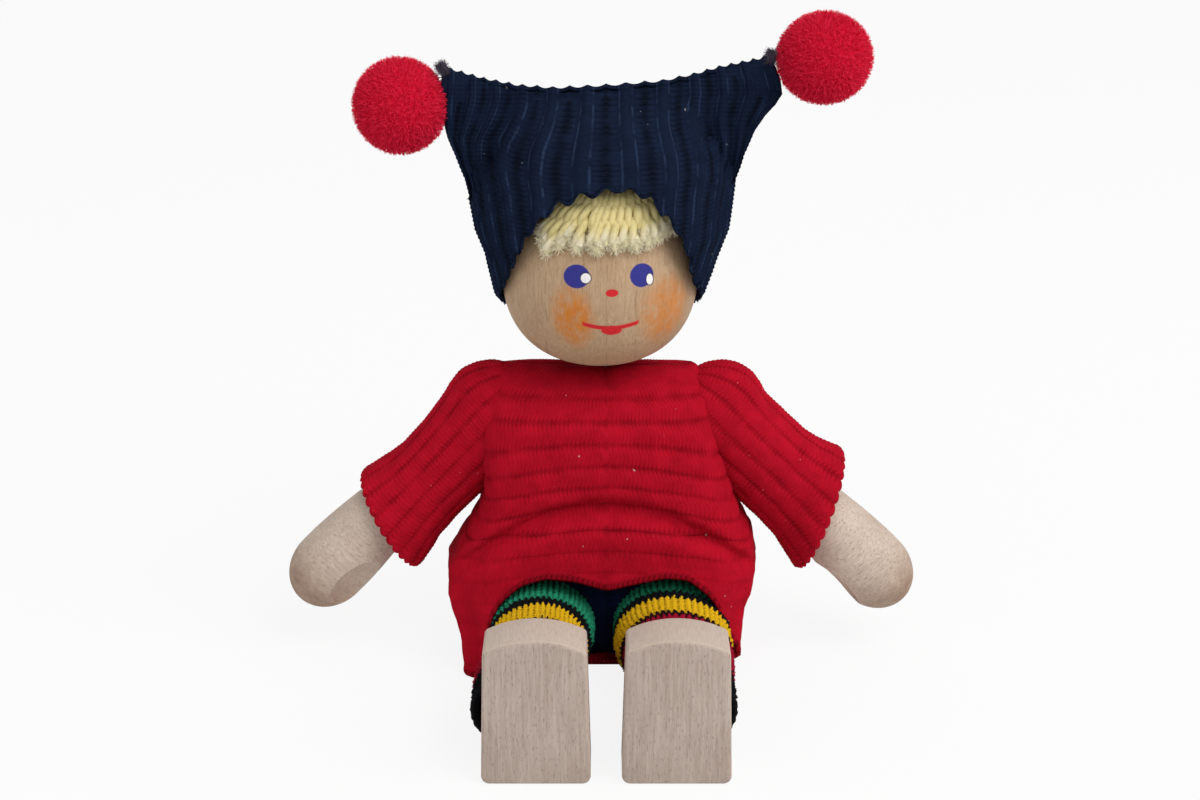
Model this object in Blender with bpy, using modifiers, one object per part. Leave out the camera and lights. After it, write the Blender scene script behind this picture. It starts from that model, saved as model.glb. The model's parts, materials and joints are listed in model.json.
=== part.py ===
"""Bendy doll: a small dressed doll with wooden head, hands and feet on a wire skeleton.

Metres, +Z up. The doll sits on the ground facing -Y, its legs straight out in front. The origin is on
the ground under the middle of its seat. Left is the doll's own left, which is +X.
"""
import math

import bmesh
import bpy
from mathutils import Matrix, Vector

# Fits and finishes
GAP = 0.0003
KNIT_WALL = 0.0013
OVERRUN = 0.004
MERGE_DISTANCE = 0.00001

# Head and hat
HEAD_RADIUS = 0.0150
HEAD_BORE_DEPTH = 0.0100
HEAD_LIFT = 0.0023
JAW_POWER = 2.4
HAT_CROWN_RISE = 0.0120
HAT_EAR_REACH = 0.0084
HAT_SIDE_EASE = 0.0004
HAT_FOREHEAD_COVER = 0.0015
HAT_OPENING_ANGLE = math.radians(50)
EAR_RISES = {"left": 0.0045, "right": 0.0032}
POMPOM_RADIUS = 0.0071
POMPOM_TILTS = {"left": math.radians(0), "right": math.radians(-38)}
POMPOM_TIE_RADIUS = 0.0008
POMPOM_TIE_LENGTH = 0.0009
FRINGE_WALL = 0.0011
FRINGE_HALF_TURN = math.radians(40)
FRINGE_LOW_ANGLE = math.radians(22)
FRINGE_HIGH_ANGLE = math.radians(62)

# Torso and wires
TORSO_RADIUS = 0.0092
TORSO_HEIGHT = 0.0270
TORSO_EDGE = 0.0010
WIRE_RADIUS = 0.0008
WIRE_SEAT_DEPTH = 0.0060
PADDING_RADIUS = 0.0035
NECK_PIVOT_RISE = 0.0018

# Dress
DRESS_RISE = 0.0032
DRESS_SLOPE_WALL = 0.0010
DRESS_HALF_WIDTH = 0.0180
NECKLINE_DIP = 0.0015
NECKLINE_DIP_REACH = 0.0120
FRONT_HEM_DIP = 0.0012
FRONT_HEM_DIP_REACH = 0.0040
SKIRT_FOLD_DEPTH = 0.0005
SKIRT_FOLD_COUNT = 11

# Arms
SHOULDER_DROP = 0.0047
SHOULDER_OFFSET = 0.0170
ARM_DROOP = math.radians(46)
ARM_LOWERING = math.radians(10)
SHOULDER_WIRE_INSET = 0.0025
UPPER_ARM_LENGTH = 0.0125
FOREARM_LENGTH = 0.0110
SLEEVE_RADIUS = 0.0078
SLEEVE_LENGTH = 0.0256
SLEEVE_CUFF_RADIUS = 0.0090
SLEEVE_DEPTH_SHARE = 0.90
HAND_LENGTH = 0.0210
HAND_RADIUS = 0.0061
HAND_BORE_DEPTH = 0.0040
HAND_EDGE = 0.0006
PALM_LENGTH = 0.0150
PALM_WIDTH = 0.0092
PALM_DEPTH = 0.0016
PALM_SETBACK = 0.0115
PALM_TURNS = {"left": math.radians(-5), "right": math.radians(46)}

# Legs and trousers
LEG_RADIUS = 0.0072
HIP_OFFSET = 0.0100
HIP_SETBACK = 0.0020
THIGH_LENGTH = 0.0165
SHIN_LENGTH = 0.0166
HIP_BEND_RADIUS = 0.0016
HIP_WIRE_OFFSET = 0.0058
BEND_SPACE = 0.0010
SEAT_HALF_WIDTH = 0.0125
SEAT_FRONT = 0.0080
SEAT_FLAT = 0.0005

# Feet
FOOT_WIDTH = 0.0156
FOOT_LENGTH = 0.0226
FOOT_THICKNESS = 0.0078
FOOT_TOE_SAGITTA = 0.0022
FOOT_CORNER = 0.0010
FOOT_EDGE = 0.0004
FOOT_BORE_DEPTH = 0.0040

# Mesh fineness
TURN_STEPS = 24
SLIM_STEPS = 14
WIRE_STEPS = 10
WIRE_DOME_STEPS = 3
DOME_STEPS = 7
HAT_COLUMNS = 40
HAT_ROWS = 9
DRESS_COLUMNS = 40
BODICE_ROWS = 8
SKIRT_ROWS = 7
FRINGE_COLUMNS = 12
FRINGE_ROWS = 4

# Outline of the dress: height, half width, front depth, back depth as shares, then the corner power
DRESS_SHARES = (
    (1.000, 0.905, 0.22, 0.22, 2.2),
    (0.965, 0.940, 0.48, 0.48, 2.2),
    (0.910, 0.955, 0.75, 0.74, 2.2),
    (0.830, 0.965, 0.93, 0.92, 2.3),
    (0.700, 1.000, 1.02, 1.00, 2.4),
    (0.580, 1.090, 1.05, 1.00, 2.6),
    (0.500, 1.160, 1.10, 1.00, 2.8),
    (0.420, 1.270, 1.16, 1.00, 3.2),
    (0.345, 1.360, 1.18, 1.00, 3.8),
    (0.250, 1.330, 1.20, 1.01, 4.0),
    (0.165, 1.260, 1.23, 1.03, 4.0),
    (0.000, 1.180, 1.25, 1.06, 4.0),
)

# Outline of the hat from its hem to its sewn top: height, width and depth as shares
HAT_SHARES = (
    (0.00, 0.735, 0.985),
    (0.22, 0.750, 1.000),
    (0.40, 0.800, 0.985),
    (0.53, 0.852, 0.875),
    (0.62, 0.885, 0.775),
    (0.75, 0.935, 0.595),
    (0.88, 0.975, 0.380),
    (1.00, 1.000, 0.130),
)

# Outline of the sleeve below the shoulder: distance down the arm and radius as shares
SLEEVE_SHARES = ((0.00, 1.00), (0.15, 1.02), (0.40, 1.00), (0.60, 1.01), (0.80, 1.05))

# Outline of the trouser leg: distance down the leg and radius as shares
LEG_SHARES = (
    (0.04, 0.99),
    (0.12, 1.00),
    (0.25, 1.00),
    (0.50, 0.97),
    (0.75, 0.95),
    (0.90, 0.97),
    (1.00, 1.00),
)

# Outline of the hand from the wrist to the start of its dome: distance and radius as shares
HAND_SHARES = ((0.06, 0.84), (0.20, 0.90), (0.36, 0.96), (0.52, 1.00), (0.68, 1.00))
HAND_DOME_SHARE = 0.68

# Corner power of a garment's back, where it hangs round
BACK_POWER = 2.6

# Places that follow from the sizes above
SIDES = (("left", 1), ("right", -1))
HIP_HEIGHT = LEG_RADIUS + GAP
SEAT_TOP = HIP_HEIGHT + LEG_RADIUS + GAP + 2 * KNIT_WALL
TORSO_BOTTOM = SEAT_TOP + GAP
TORSO_TOP = TORSO_BOTTOM + TORSO_HEIGHT
DRESS_TOP = TORSO_TOP + DRESS_RISE
DRESS_HALF_DEPTH = TORSO_RADIUS + GAP + KNIT_WALL
WAIST_HEIGHT = DRESS_TOP / 2
SHOULDER_HEIGHT = TORSO_TOP - SHOULDER_DROP
NECK_PIVOT_HEIGHT = TORSO_TOP + NECK_PIVOT_RISE
HEAD_HEIGHT = NECK_PIVOT_HEIGHT + HEAD_LIFT + HEAD_RADIUS
HEAD_TOP = HEAD_HEIGHT + HEAD_RADIUS
HAT_HEM_HEIGHT = HEAD_HEIGHT - HEAD_RADIUS / 2
HAT_OPENING_HEIGHT = HEAD_TOP - HAT_FOREHEAD_COVER
HAT_SEAM_HEIGHT = HEAD_TOP + HAT_CROWN_RISE
HAT_HALF_WIDTH = HEAD_RADIUS + HAT_EAR_REACH
HAT_HALF_DEPTH = HEAD_RADIUS + HAT_SIDE_EASE + KNIT_WALL
BORE_RADIUS = WIRE_RADIUS + GAP
BEND_START = WIRE_RADIUS + GAP
HIP_BEND_START = HIP_BEND_RADIUS + GAP
PADDING_START = PADDING_RADIUS + BEND_SPACE
FOOT_FRONT_SPACE = WIRE_RADIUS + 2 * GAP
HIP_Y = -HIP_SETBACK
KNEE_Y = HIP_Y - THIGH_LENGTH
ANKLE_Y = KNEE_Y - SHIN_LENGTH
FOOT_BACK_Y = ANKLE_Y - FOOT_FRONT_SPACE
LEG_LENGTH = HIP_Y - FOOT_BACK_Y - GAP


def clear_scene():
    """Take every object out of the scene."""
    for obj in list(bpy.data.objects):
        bpy.data.objects.remove(obj, do_unlink=True)


def new_collection(name):
    """Add a collection to the scene."""
    collection = bpy.data.collections.new(name)
    bpy.context.scene.collection.children.link(collection)
    return collection


clear_scene()
PARTS = new_collection("bendy_doll")
CUTTERS = new_collection("cutters")


def finish(name, colour, roughness, metallic=0.0):
    """A Principled material for one sub-part."""
    material = bpy.data.materials.new(name)
    material.use_nodes = True
    shader = material.node_tree.nodes["Principled BSDF"]
    shader.inputs["Base Color"].default_value = (*colour, 1.0)
    shader.inputs["Roughness"].default_value = roughness
    shader.inputs["Metallic"].default_value = metallic
    return material


def wood(name):
    return finish(name, (0.66, 0.50, 0.36), 0.62)


def steel(name):
    return finish(name, (0.45, 0.45, 0.46), 0.35, 1.0)


def cotton(name):
    return finish(name, (0.74, 0.71, 0.64), 0.95)


def red_knit(name):
    return finish(name, (0.50, 0.008, 0.022), 0.95)


def navy_knit(name):
    return finish(name, (0.006, 0.012, 0.032), 0.95)


def striped_knit(name):
    return finish(name, (0.01, 0.22, 0.12), 0.95)


def yarn(name):
    return finish(name, (0.86, 0.78, 0.44), 0.95)


def fluff(name):
    return finish(name, (0.62, 0.01, 0.04), 1.0)


def add(name, data, material=None):
    """Put data in the scene, with the parts if it has a material and with the cutters if not."""
    obj = bpy.data.objects.new(name, data)
    (PARTS if material else CUTTERS).objects.link(obj)
    if material:
        data.materials.append(material(name))
    else:
        obj.hide_render = True
        obj.display_type = "WIRE"
    return obj


def turned(name, profile, material=None, closed=False, turn_steps=TURN_STEPS):
    """A shape turned about its own Z from (radius, height) points that run down its outer side."""
    mesh = bpy.data.meshes.new(name)
    edges = [(index, index + 1) for index in range(len(profile) - 1)]
    if closed:
        edges.append((len(profile) - 1, 0))
    mesh.from_pydata([(radius, 0, height) for radius, height in profile], edges, [])
    obj = add(name, mesh, material)
    screw = obj.modifiers.new("Turn", "SCREW")
    screw.steps = turn_steps
    screw.render_steps = turn_steps
    screw.use_merge_vertices = True
    screw.merge_threshold = MERGE_DISTANCE
    screw.use_smooth_shade = True
    return obj


def wall_profile(outer):
    """The closed profile of a knitted tube from its outer side."""
    inner = [(radius - KNIT_WALL, height) for radius, height in reversed(outer)]
    return list(outer) + inner


def wire(name, points, material=None, radius=WIRE_RADIUS):
    """A round wire through the points, with filled caps."""
    curve = bpy.data.curves.new(name, "CURVE")
    curve.dimensions = "3D"
    curve.bevel_depth = radius
    curve.bevel_resolution = 2
    curve.use_fill_caps = True
    spline = curve.splines.new("POLY")
    spline.points.add(len(points) - 1)
    for point, place in zip(spline.points, points):
        point.co = (*place, 1)
    return add(name, curve, material)


def limb_wire(name, top, bottom, domed):
    """A straight piece of wire on its own Z. A domed end turns in the next piece's bend."""
    profile = [(0, top), (WIRE_RADIUS, top), (WIRE_RADIUS, bottom)]
    if domed:
        for step in range(1, WIRE_DOME_STEPS):
            angle = math.pi / 2 * step / WIRE_DOME_STEPS
            profile.append((WIRE_RADIUS * math.cos(angle), bottom - WIRE_RADIUS * math.sin(angle)))
        profile.append((0, bottom - WIRE_RADIUS))
    else:
        profile.append((0, bottom))
    return turned(name, profile, steel, turn_steps=WIRE_STEPS)


def as_mesh(obj, material=None):
    """A curve or a modified object as a plain welded mesh in the same place."""
    bpy.context.view_layer.update()
    evaluated = obj.evaluated_get(bpy.context.evaluated_depsgraph_get())
    mesh = bpy.data.meshes.new_from_object(evaluated)
    shell = bmesh.new()
    shell.from_mesh(mesh)
    bmesh.ops.remove_doubles(shell, verts=shell.verts, dist=MERGE_DISTANCE)
    shell.to_mesh(mesh)
    shell.free()
    mesh.materials.clear()
    name = obj.name
    place = obj.matrix_world.copy()
    bpy.data.objects.remove(obj)
    plain = add(name, mesh, material)
    plain.matrix_world = place
    return plain


def ball(name, radius, place, material=None, segments=TURN_STEPS):
    """A sphere."""
    mesh = bpy.data.meshes.new(name)
    shell = bmesh.new()
    bmesh.ops.create_uvsphere(shell, u_segments=segments, v_segments=segments // 2, radius=radius)
    shell.to_mesh(mesh)
    shell.free()
    mesh.shade_smooth()
    obj = add(name, mesh, material)
    obj.location = place
    return obj


def box(name, low, high, material=None):
    """A box between two corners."""
    mesh = bpy.data.meshes.new(name)
    shell = bmesh.new()
    bmesh.ops.create_cube(shell, size=1)
    low, high = Vector(low), Vector(high)
    size = Matrix.Diagonal((*(high - low), 1))
    bmesh.ops.transform(shell, matrix=Matrix.Translation((low + high) / 2) @ size, verts=shell.verts)
    shell.to_mesh(mesh)
    shell.free()
    return add(name, mesh, material)


def rod(name, radius, start, end, material=None, segments=SLIM_STEPS):
    """A round bar between two places."""
    start, end = Vector(start), Vector(end)
    mesh = bpy.data.meshes.new(name)
    shell = bmesh.new()
    bmesh.ops.create_cone(
        shell, cap_ends=True, segments=segments, radius1=radius, radius2=radius, depth=(end - start).length
    )
    shell.to_mesh(mesh)
    shell.free()
    obj = add(name, mesh, material)
    obj.location = (start + end) / 2
    obj.rotation_mode = "QUATERNION"
    obj.rotation_quaternion = (end - start).to_track_quat("Z", "Y")
    return obj


def cut(obj, *cutters):
    """Take each cutter out of an object."""
    for cutter in cutters:
        boolean = obj.modifiers.new(cutter.name, "BOOLEAN")
        boolean.operation = "DIFFERENCE"
        boolean.object = cutter


def aim(obj, place, direction, sideways):
    """Place an object with its -Z along direction and its +X towards sideways."""
    up = -direction.normalized()
    across = (sideways - up * sideways.dot(up)).normalized()
    turn = Matrix((across, up.cross(across), up)).transposed().to_4x4()
    obj.matrix_world = Matrix.Translation(place) @ turn


def pivot(name, place, parent=None):
    """An empty on a joint's axis, which the moving pieces hang from."""
    empty = bpy.data.objects.new(name, None)
    empty.empty_display_size = HEAD_RADIUS / 3
    PARTS.objects.link(empty)
    empty.location = place
    if parent:
        hang(parent, empty)
    return empty


def hang(parent, *objects):
    """Parent objects to an empty and leave them where they are."""
    bpy.context.view_layer.update()
    for obj in objects:
        obj.parent = parent
        obj.matrix_parent_inverse = parent.matrix_world.inverted()


def blend_rows(table, share):
    """The row of a table of shares at a share between two of its rows."""
    rows = sorted(table)
    for low, high in zip(rows, rows[1:]):
        if share <= high[0]:
            part = max(0.0, (share - low[0]) / (high[0] - low[0]))
            return [a + (b - a) * part for a, b in zip(low, high)]
    return list(rows[-1])


def ring_point(angle, half_width, front, back, power):
    """A point of a rounded oblong ring. Angle 0 is its front."""
    across = math.sin(angle)
    ahead = math.cos(angle)
    if ahead < 0:
        power = min(power, BACK_POWER)
    x = half_width * math.copysign(abs(across) ** (2 / power), across)
    y = -(front if ahead > 0 else back) * math.copysign(abs(ahead) ** (2 / power), ahead)
    return x, y


def ease(share):
    """A smooth step from 0 to 1."""
    share = min(1.0, max(0.0, share))
    return share * share * (3 - 2 * share)


def cloth(name, columns, round_the_piece, material=None, wall=0.0, close_top=False):
    """A knitted wall, or a filled space, through columns of points that run from the hem up."""
    mesh = bpy.data.meshes.new(name)
    shell = bmesh.new()
    grid = [[shell.verts.new(point) for point in column] for column in columns]
    count = len(grid)
    for index in range(count if round_the_piece else count - 1):
        column, following = grid[index], grid[(index + 1) % count]
        for row in range(len(column) - 1):
            shell.faces.new((column[row], following[row], following[row + 1], column[row + 1]))
    if close_top:
        quarter = count // 4
        for step in range(-quarter, quarter):
            corners = [grid[step % count][-1], grid[(step + 1) % count][-1]]
            corners += [grid[(2 * quarter - step - 1) % count][-1], grid[(2 * quarter - step) % count][-1]]
            shell.faces.new(list(dict.fromkeys(corners)))
    if not wall:
        bmesh.ops.holes_fill(shell, edges=shell.edges)
    shell.to_mesh(mesh)
    shell.free()
    mesh.shade_smooth()
    obj = add(name, mesh, material)
    if wall:
        solidify = obj.modifiers.new("Wall", "SOLIDIFY")
        solidify.thickness = wall
        solidify.offset = -1
    return obj


def dress_ring(height):
    """Half width, front depth, back depth and corner power of the dress at a height."""
    _, width, front, back, power = blend_rows(DRESS_SHARES, height / DRESS_TOP)
    return width * DRESS_HALF_WIDTH, front * DRESS_HALF_DEPTH, back * DRESS_HALF_DEPTH, power


def make_torso():
    """Turned wooden body with blind holes for the neck, arm and leg wires."""
    profile = [(0, TORSO_TOP)]
    steps = DOME_STEPS + 2
    for step in range(steps + 1):
        height = TORSO_TOP - TORSO_HEIGHT / 2 * step / steps
        _, front, back, _ = dress_ring(height + NECKLINE_DIP)
        slope_wall = KNIT_WALL + DRESS_SLOPE_WALL * ease(1.5 - 2 * step / steps)
        profile.append((min(TORSO_RADIUS, front - slope_wall - 2 * GAP, back - slope_wall - 2 * GAP), height))
    profile.append((TORSO_RADIUS, TORSO_BOTTOM + TORSO_EDGE))
    profile.append((TORSO_RADIUS - TORSO_EDGE, TORSO_BOTTOM))
    profile.append((0, TORSO_BOTTOM))
    core = turned("torso_core", profile, wood)
    neck_hole = rod(
        "neck_hole", BORE_RADIUS, (0, 0, TORSO_TOP - WIRE_SEAT_DEPTH - GAP), (0, 0, TORSO_TOP + OVERRUN)
    )
    cut(core, neck_hole)
    for side, sign in SIDES:
        shoulder = (sign * SHOULDER_OFFSET, 0, SHOULDER_HEIGHT)
        arm_hole_end = (sign * (SHOULDER_WIRE_INSET - GAP), 0, SHOULDER_HEIGHT)
        arm_hole = rod("arm_hole_" + side, BORE_RADIUS, arm_hole_end, shoulder)
        leg_hole = rod(
            "leg_hole_" + side,
            BORE_RADIUS,
            (sign * HIP_WIRE_OFFSET, 0, TORSO_BOTTOM - OVERRUN),
            (sign * HIP_WIRE_OFFSET, 0, TORSO_BOTTOM + WIRE_SEAT_DEPTH + GAP),
        )
        cut(core, arm_hole, leg_hole)
    return core


def make_head():
    """Turned wooden ball with a full jaw, drilled from below for its wire."""
    bore_angle = math.pi - math.asin((BORE_RADIUS / HEAD_RADIUS) ** (JAW_POWER / 2))
    steps = 2 * DOME_STEPS
    profile = []
    for step in range(steps + 1):
        angle = bore_angle * step / steps
        fullness = 1 if math.cos(angle) > 0 else 2 / JAW_POWER
        rise = math.copysign(abs(math.cos(angle)) ** fullness, math.cos(angle))
        profile.append((HEAD_RADIUS * math.sin(angle) ** fullness, HEAD_LIFT + HEAD_RADIUS * (1 + rise)))
    bore_end = HEAD_LIFT + HEAD_BORE_DEPTH
    profile[0] = (0, HEAD_LIFT + 2 * HEAD_RADIUS)
    profile += [(BORE_RADIUS, bore_end), (0, bore_end)]
    head = turned("head", profile, wood)
    head.location = (0, 0, NECK_PIVOT_HEIGHT)
    head_wire = limb_wire("head_wire", bore_end - GAP, BEND_START, False)
    head_wire.location = head.location
    neck_wire = limb_wire("neck_wire", NECK_PIVOT_RISE + WIRE_SEAT_DEPTH, 0, True)
    aim(neck_wire, head.location, Vector((0, 0, 1)), Vector((1, 0, 0)))
    return neck_wire, [head, head_wire]


def hat_top(angle):
    """Height of the hat's sewn top edge, which rises to the corner on each side."""
    rise = EAR_RISES["left"] if math.sin(angle) > 0 else EAR_RISES["right"]
    return HAT_SEAM_HEIGHT + rise * math.sin(angle) ** 4


def hat_hem(angle):
    """Height of the hat's hem, which arches up over the face."""
    from_front = abs(math.remainder(angle, 2 * math.pi)) / HAT_OPENING_ANGLE
    return HAT_HEM_HEIGHT + (HAT_OPENING_HEIGHT - HAT_HEM_HEIGHT) / (1 + from_front**4)


def make_hat():
    """Knitted tube pulled over the head and sewn flat across its top."""
    columns = []
    for index in range(HAT_COLUMNS):
        angle = 2 * math.pi * index / HAT_COLUMNS
        low, high = hat_hem(angle), hat_top(angle)
        column = []
        for row in range(HAT_ROWS):
            height = low + (high - low) * row / (HAT_ROWS - 1)
            share = (height - HAT_HEM_HEIGHT) / (high - HAT_HEM_HEIGHT)
            _, width_share, depth_share = blend_rows(HAT_SHARES, share)
            depth = depth_share * HAT_HALF_DEPTH
            column.append((*ring_point(angle, width_share * HAT_HALF_WIDTH, depth, depth, 2), height))
        columns.append(column)
    return cloth("hat", columns, True, navy_knit, KNIT_WALL, close_top=True)


def make_pompoms():
    """Fluff balls tied to the corners of the hat."""
    pieces = []
    for side, sign in SIDES:
        corner = Vector((sign * HAT_HALF_WIDTH, 0, hat_top(sign * math.pi / 2)))
        outward = Vector((sign * math.cos(POMPOM_TILTS[side]), 0, math.sin(POMPOM_TILTS[side])))
        start = corner + outward * GAP
        end = start + outward * POMPOM_TIE_LENGTH
        middle = end + outward * (GAP + POMPOM_RADIUS)
        pieces.append(ball("pompom_" + side, POMPOM_RADIUS, middle, fluff))
        pieces.append(rod("pompom_tie_" + side, POMPOM_TIE_RADIUS, start, end, yarn))
    return pieces


def make_fringe():
    """Yarn fringe on the forehead, its top end under the hat."""
    radius = HEAD_RADIUS + GAP + FRINGE_WALL
    columns = []
    for index in range(FRINGE_COLUMNS + 1):
        turn = FRINGE_HALF_TURN * (2 * index / FRINGE_COLUMNS - 1)
        column = []
        for row in range(FRINGE_ROWS + 1):
            lift = FRINGE_LOW_ANGLE + (FRINGE_HIGH_ANGLE - FRINGE_LOW_ANGLE) * row / FRINGE_ROWS
            flat = radius * math.cos(lift)
            height = HEAD_HEIGHT + radius * math.sin(lift)
            column.append((flat * math.sin(turn), -flat * math.cos(turn), height))
        columns.append(column)
    return cloth("hair_fringe", columns, False, yarn, FRINGE_WALL)


def arm_direction(sign, lowering=0.0):
    """The way an arm points at rest, or lowered by an angle."""
    droop = ARM_DROOP + lowering
    return Vector((sign * math.cos(droop), 0, -math.sin(droop)))


def make_bodice():
    """Upper part of the dress, with armholes that the sleeves are sewn into."""
    columns = []
    for index in range(DRESS_COLUMNS):
        angle = 2 * math.pi * index / DRESS_COLUMNS
        column = []
        for row in range(BODICE_ROWS + 1):
            bottom = WAIST_HEIGHT + GAP
            height = bottom + (DRESS_TOP - bottom) * row / BODICE_ROWS
            x, y = ring_point(angle, *dress_ring(height))
            dip = NECKLINE_DIP * math.exp(-((x / NECKLINE_DIP_REACH) ** 2))
            column.append((x, y, height - dip * row / BODICE_ROWS))
        columns.append(column)
    bodice = cloth("dress_bodice", columns, True, red_knit, KNIT_WALL)
    for side, sign in SIDES:
        shoulder = Vector((sign * SHOULDER_OFFSET, 0, SHOULDER_HEIGHT))
        reach = math.hypot(PADDING_START, PADDING_RADIUS) + GAP
        lowered = shoulder + arm_direction(sign, ARM_LOWERING) * UPPER_ARM_LENGTH
        armhole = rod("armhole_" + side, PADDING_RADIUS + GAP, shoulder, lowered, segments=TURN_STEPS)
        cut(bodice, ball("shoulder_ball_" + side, reach, shoulder), armhole)
    return bodice


def front_hem(x):
    """Height of the front hem, which lies over both thighs and dips between them."""
    dip = FRONT_HEM_DIP * math.exp(-((x / FRONT_HEM_DIP_REACH) ** 2))
    return HIP_HEIGHT + LEG_RADIUS + GAP + KNIT_WALL - dip


def make_skirt():
    """Lower part of the dress: over the thighs in front, down to the ground at the sides and back."""
    lap_angle, side_angle = math.radians(44), math.radians(58)
    columns = []
    for index in range(DRESS_COLUMNS):
        angle = 2 * math.pi * index / DRESS_COLUMNS
        from_front = abs(math.remainder(angle, 2 * math.pi))
        top = WAIST_HEIGHT - GAP
        lap = front_hem(ring_point(angle, *dress_ring(front_hem(HIP_OFFSET)))[0])
        hem = lap + (GAP - lap) * ease((from_front - lap_angle) / (side_angle - lap_angle))
        column = []
        for row in range(SKIRT_ROWS + 1):
            height = hem + (top - hem) * row / SKIRT_ROWS
            fold = SKIRT_FOLD_DEPTH * (1 - height / top) * math.cos(SKIRT_FOLD_COUNT * angle)
            half_width, front, back, power = dress_ring(height)
            x, y = ring_point(angle, half_width + fold, front + fold, back + fold, power)
            column.append((x, y, height))
        columns.append(column)
    return cloth("dress_skirt", columns, True, red_knit, KNIT_WALL)


def dome_points(radius):
    """Points of a quarter circle from the top of a dome down to just above its rim."""
    angles = [math.pi / 2 * step / DOME_STEPS for step in range(DOME_STEPS)]
    return [(radius * math.sin(angle), radius * math.cos(angle)) for angle in angles]


def make_dress_space():
    """The room that the upper dress takes up, which the sleeves are sewn round."""
    columns = []
    for index in range(DRESS_COLUMNS):
        angle = 2 * math.pi * index / DRESS_COLUMNS
        column = []
        for row in range(BODICE_ROWS + 2):
            height = WAIST_HEIGHT - OVERRUN + (DRESS_TOP - WAIST_HEIGHT + OVERRUN) * row / BODICE_ROWS
            half_width, front, back, power = dress_ring(min(height, DRESS_TOP))
            column.append((*ring_point(angle, half_width + GAP, front + GAP, back + GAP, power), height))
        columns.append(column)
    return cloth("dress_space", columns, True)


def make_sleeve(side, sign, shoulder, dress_space):
    """Knitted tube with a rounded shoulder, sewn to the side of the dress."""
    outer = [(share * SLEEVE_RADIUS, -along * SLEEVE_LENGTH) for along, share in SLEEVE_SHARES]
    outer.append((SLEEVE_CUFF_RADIUS, -SLEEVE_LENGTH))
    inner = [(radius - KNIT_WALL, height) for radius, height in reversed(outer)]
    profile = dome_points(SLEEVE_RADIUS) + outer + inner + dome_points(SLEEVE_RADIUS - KNIT_WALL)[::-1]
    sleeve = turned("sleeve_" + side, profile, red_knit)
    aim(sleeve, shoulder, arm_direction(sign), Vector((0, 0, 1)))
    sleeve.scale.y = SLEEVE_DEPTH_SHARE
    cut(sleeve, dress_space)
    return sleeve


def make_padding(name, start, end):
    """Cotton wound round a limb wire, from one distance below the pivot to another."""
    profile = [(PADDING_RADIUS, -start), (PADDING_RADIUS, -end), (BORE_RADIUS, -end), (BORE_RADIUS, -start)]
    return turned(name, profile, cotton, closed=True, turn_steps=SLIM_STEPS)


def make_hand(side, sign, elbow):
    """Turned wooden hand with a scooped palm, drilled for the arm wire."""
    top = -FOREARM_LENGTH
    dome = HAND_LENGTH * (1 - HAND_DOME_SHARE)
    profile = [(0, top - HAND_BORE_DEPTH), (BORE_RADIUS, top - HAND_BORE_DEPTH), (BORE_RADIUS, top)]
    profile.append((HAND_RADIUS * HAND_SHARES[0][1] - HAND_EDGE, top))
    profile += [(share * HAND_RADIUS, top - along * HAND_LENGTH) for along, share in HAND_SHARES]
    for step in range(1, DOME_STEPS + 1):
        angle = math.pi / 2 * step / DOME_STEPS
        height = top - HAND_LENGTH + dome * (1 - math.sin(angle))
        profile.append((HAND_RADIUS * math.cos(angle) if step < DOME_STEPS else 0, height))
    hand = turned("hand_" + side, profile, wood)
    direction = arm_direction(sign)
    inward = Vector((-sign * math.sin(ARM_DROOP), 0, -math.cos(ARM_DROOP)))
    turn = PALM_TURNS[side]
    palm = inward * math.cos(turn) + Vector((0, -1, 0)) * math.sin(turn)
    aim(hand, elbow, direction, palm)
    scoop = ball("palm_scoop_" + side, PALM_LENGTH / 2, (0, 0, 0))
    middle = elbow + direction * (FOREARM_LENGTH + PALM_SETBACK)
    middle += palm * (HAND_RADIUS + PALM_WIDTH / 2 - PALM_DEPTH)
    aim(scoop, middle, direction, palm)
    scoop.scale = (PALM_WIDTH / PALM_LENGTH, 2 * HAND_RADIUS / PALM_LENGTH, 1)
    cut(hand, scoop)
    return hand


def make_arm(side, sign, root, dress_space):
    """One arm: wire in the shoulder, padded upper arm in its sleeve, padded forearm and hand."""
    shoulder = Vector((sign * SHOULDER_OFFSET, 0, SHOULDER_HEIGHT))
    direction = arm_direction(sign)
    upward = Vector((0, 0, 1))
    shoulder_wire = limb_wire("shoulder_wire_" + side, SHOULDER_OFFSET - SHOULDER_WIRE_INSET, 0, True)
    aim(shoulder_wire, shoulder, Vector((sign, 0, 0)), upward)
    elbow = shoulder + direction * UPPER_ARM_LENGTH
    upper_wire = limb_wire("upper_arm_wire_" + side, -BEND_START, -UPPER_ARM_LENGTH, True)
    aim(upper_wire, shoulder, direction, upward)
    padding_end = UPPER_ARM_LENGTH - PADDING_START
    upper_padding = make_padding("upper_arm_padding_" + side, PADDING_START, padding_end)
    aim(upper_padding, shoulder, direction, upward)
    forearm_end = FOREARM_LENGTH + HAND_BORE_DEPTH - GAP
    forearm_wire = limb_wire("forearm_wire_" + side, -BEND_START, -forearm_end, False)
    aim(forearm_wire, elbow, direction, upward)
    forearm_padding = make_padding("forearm_padding_" + side, PADDING_START, FOREARM_LENGTH - GAP)
    aim(forearm_padding, elbow, direction, upward)
    upper_pivot = pivot("shoulder_pivot_" + side, shoulder, root)
    elbow_pivot = pivot("elbow_pivot_" + side, elbow, upper_pivot)
    sleeve = make_sleeve(side, sign, shoulder, dress_space)
    hang(upper_pivot, shoulder_wire, upper_wire, upper_padding, sleeve)
    hang(elbow_pivot, forearm_wire, forearm_padding, make_hand(side, sign, elbow))


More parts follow.
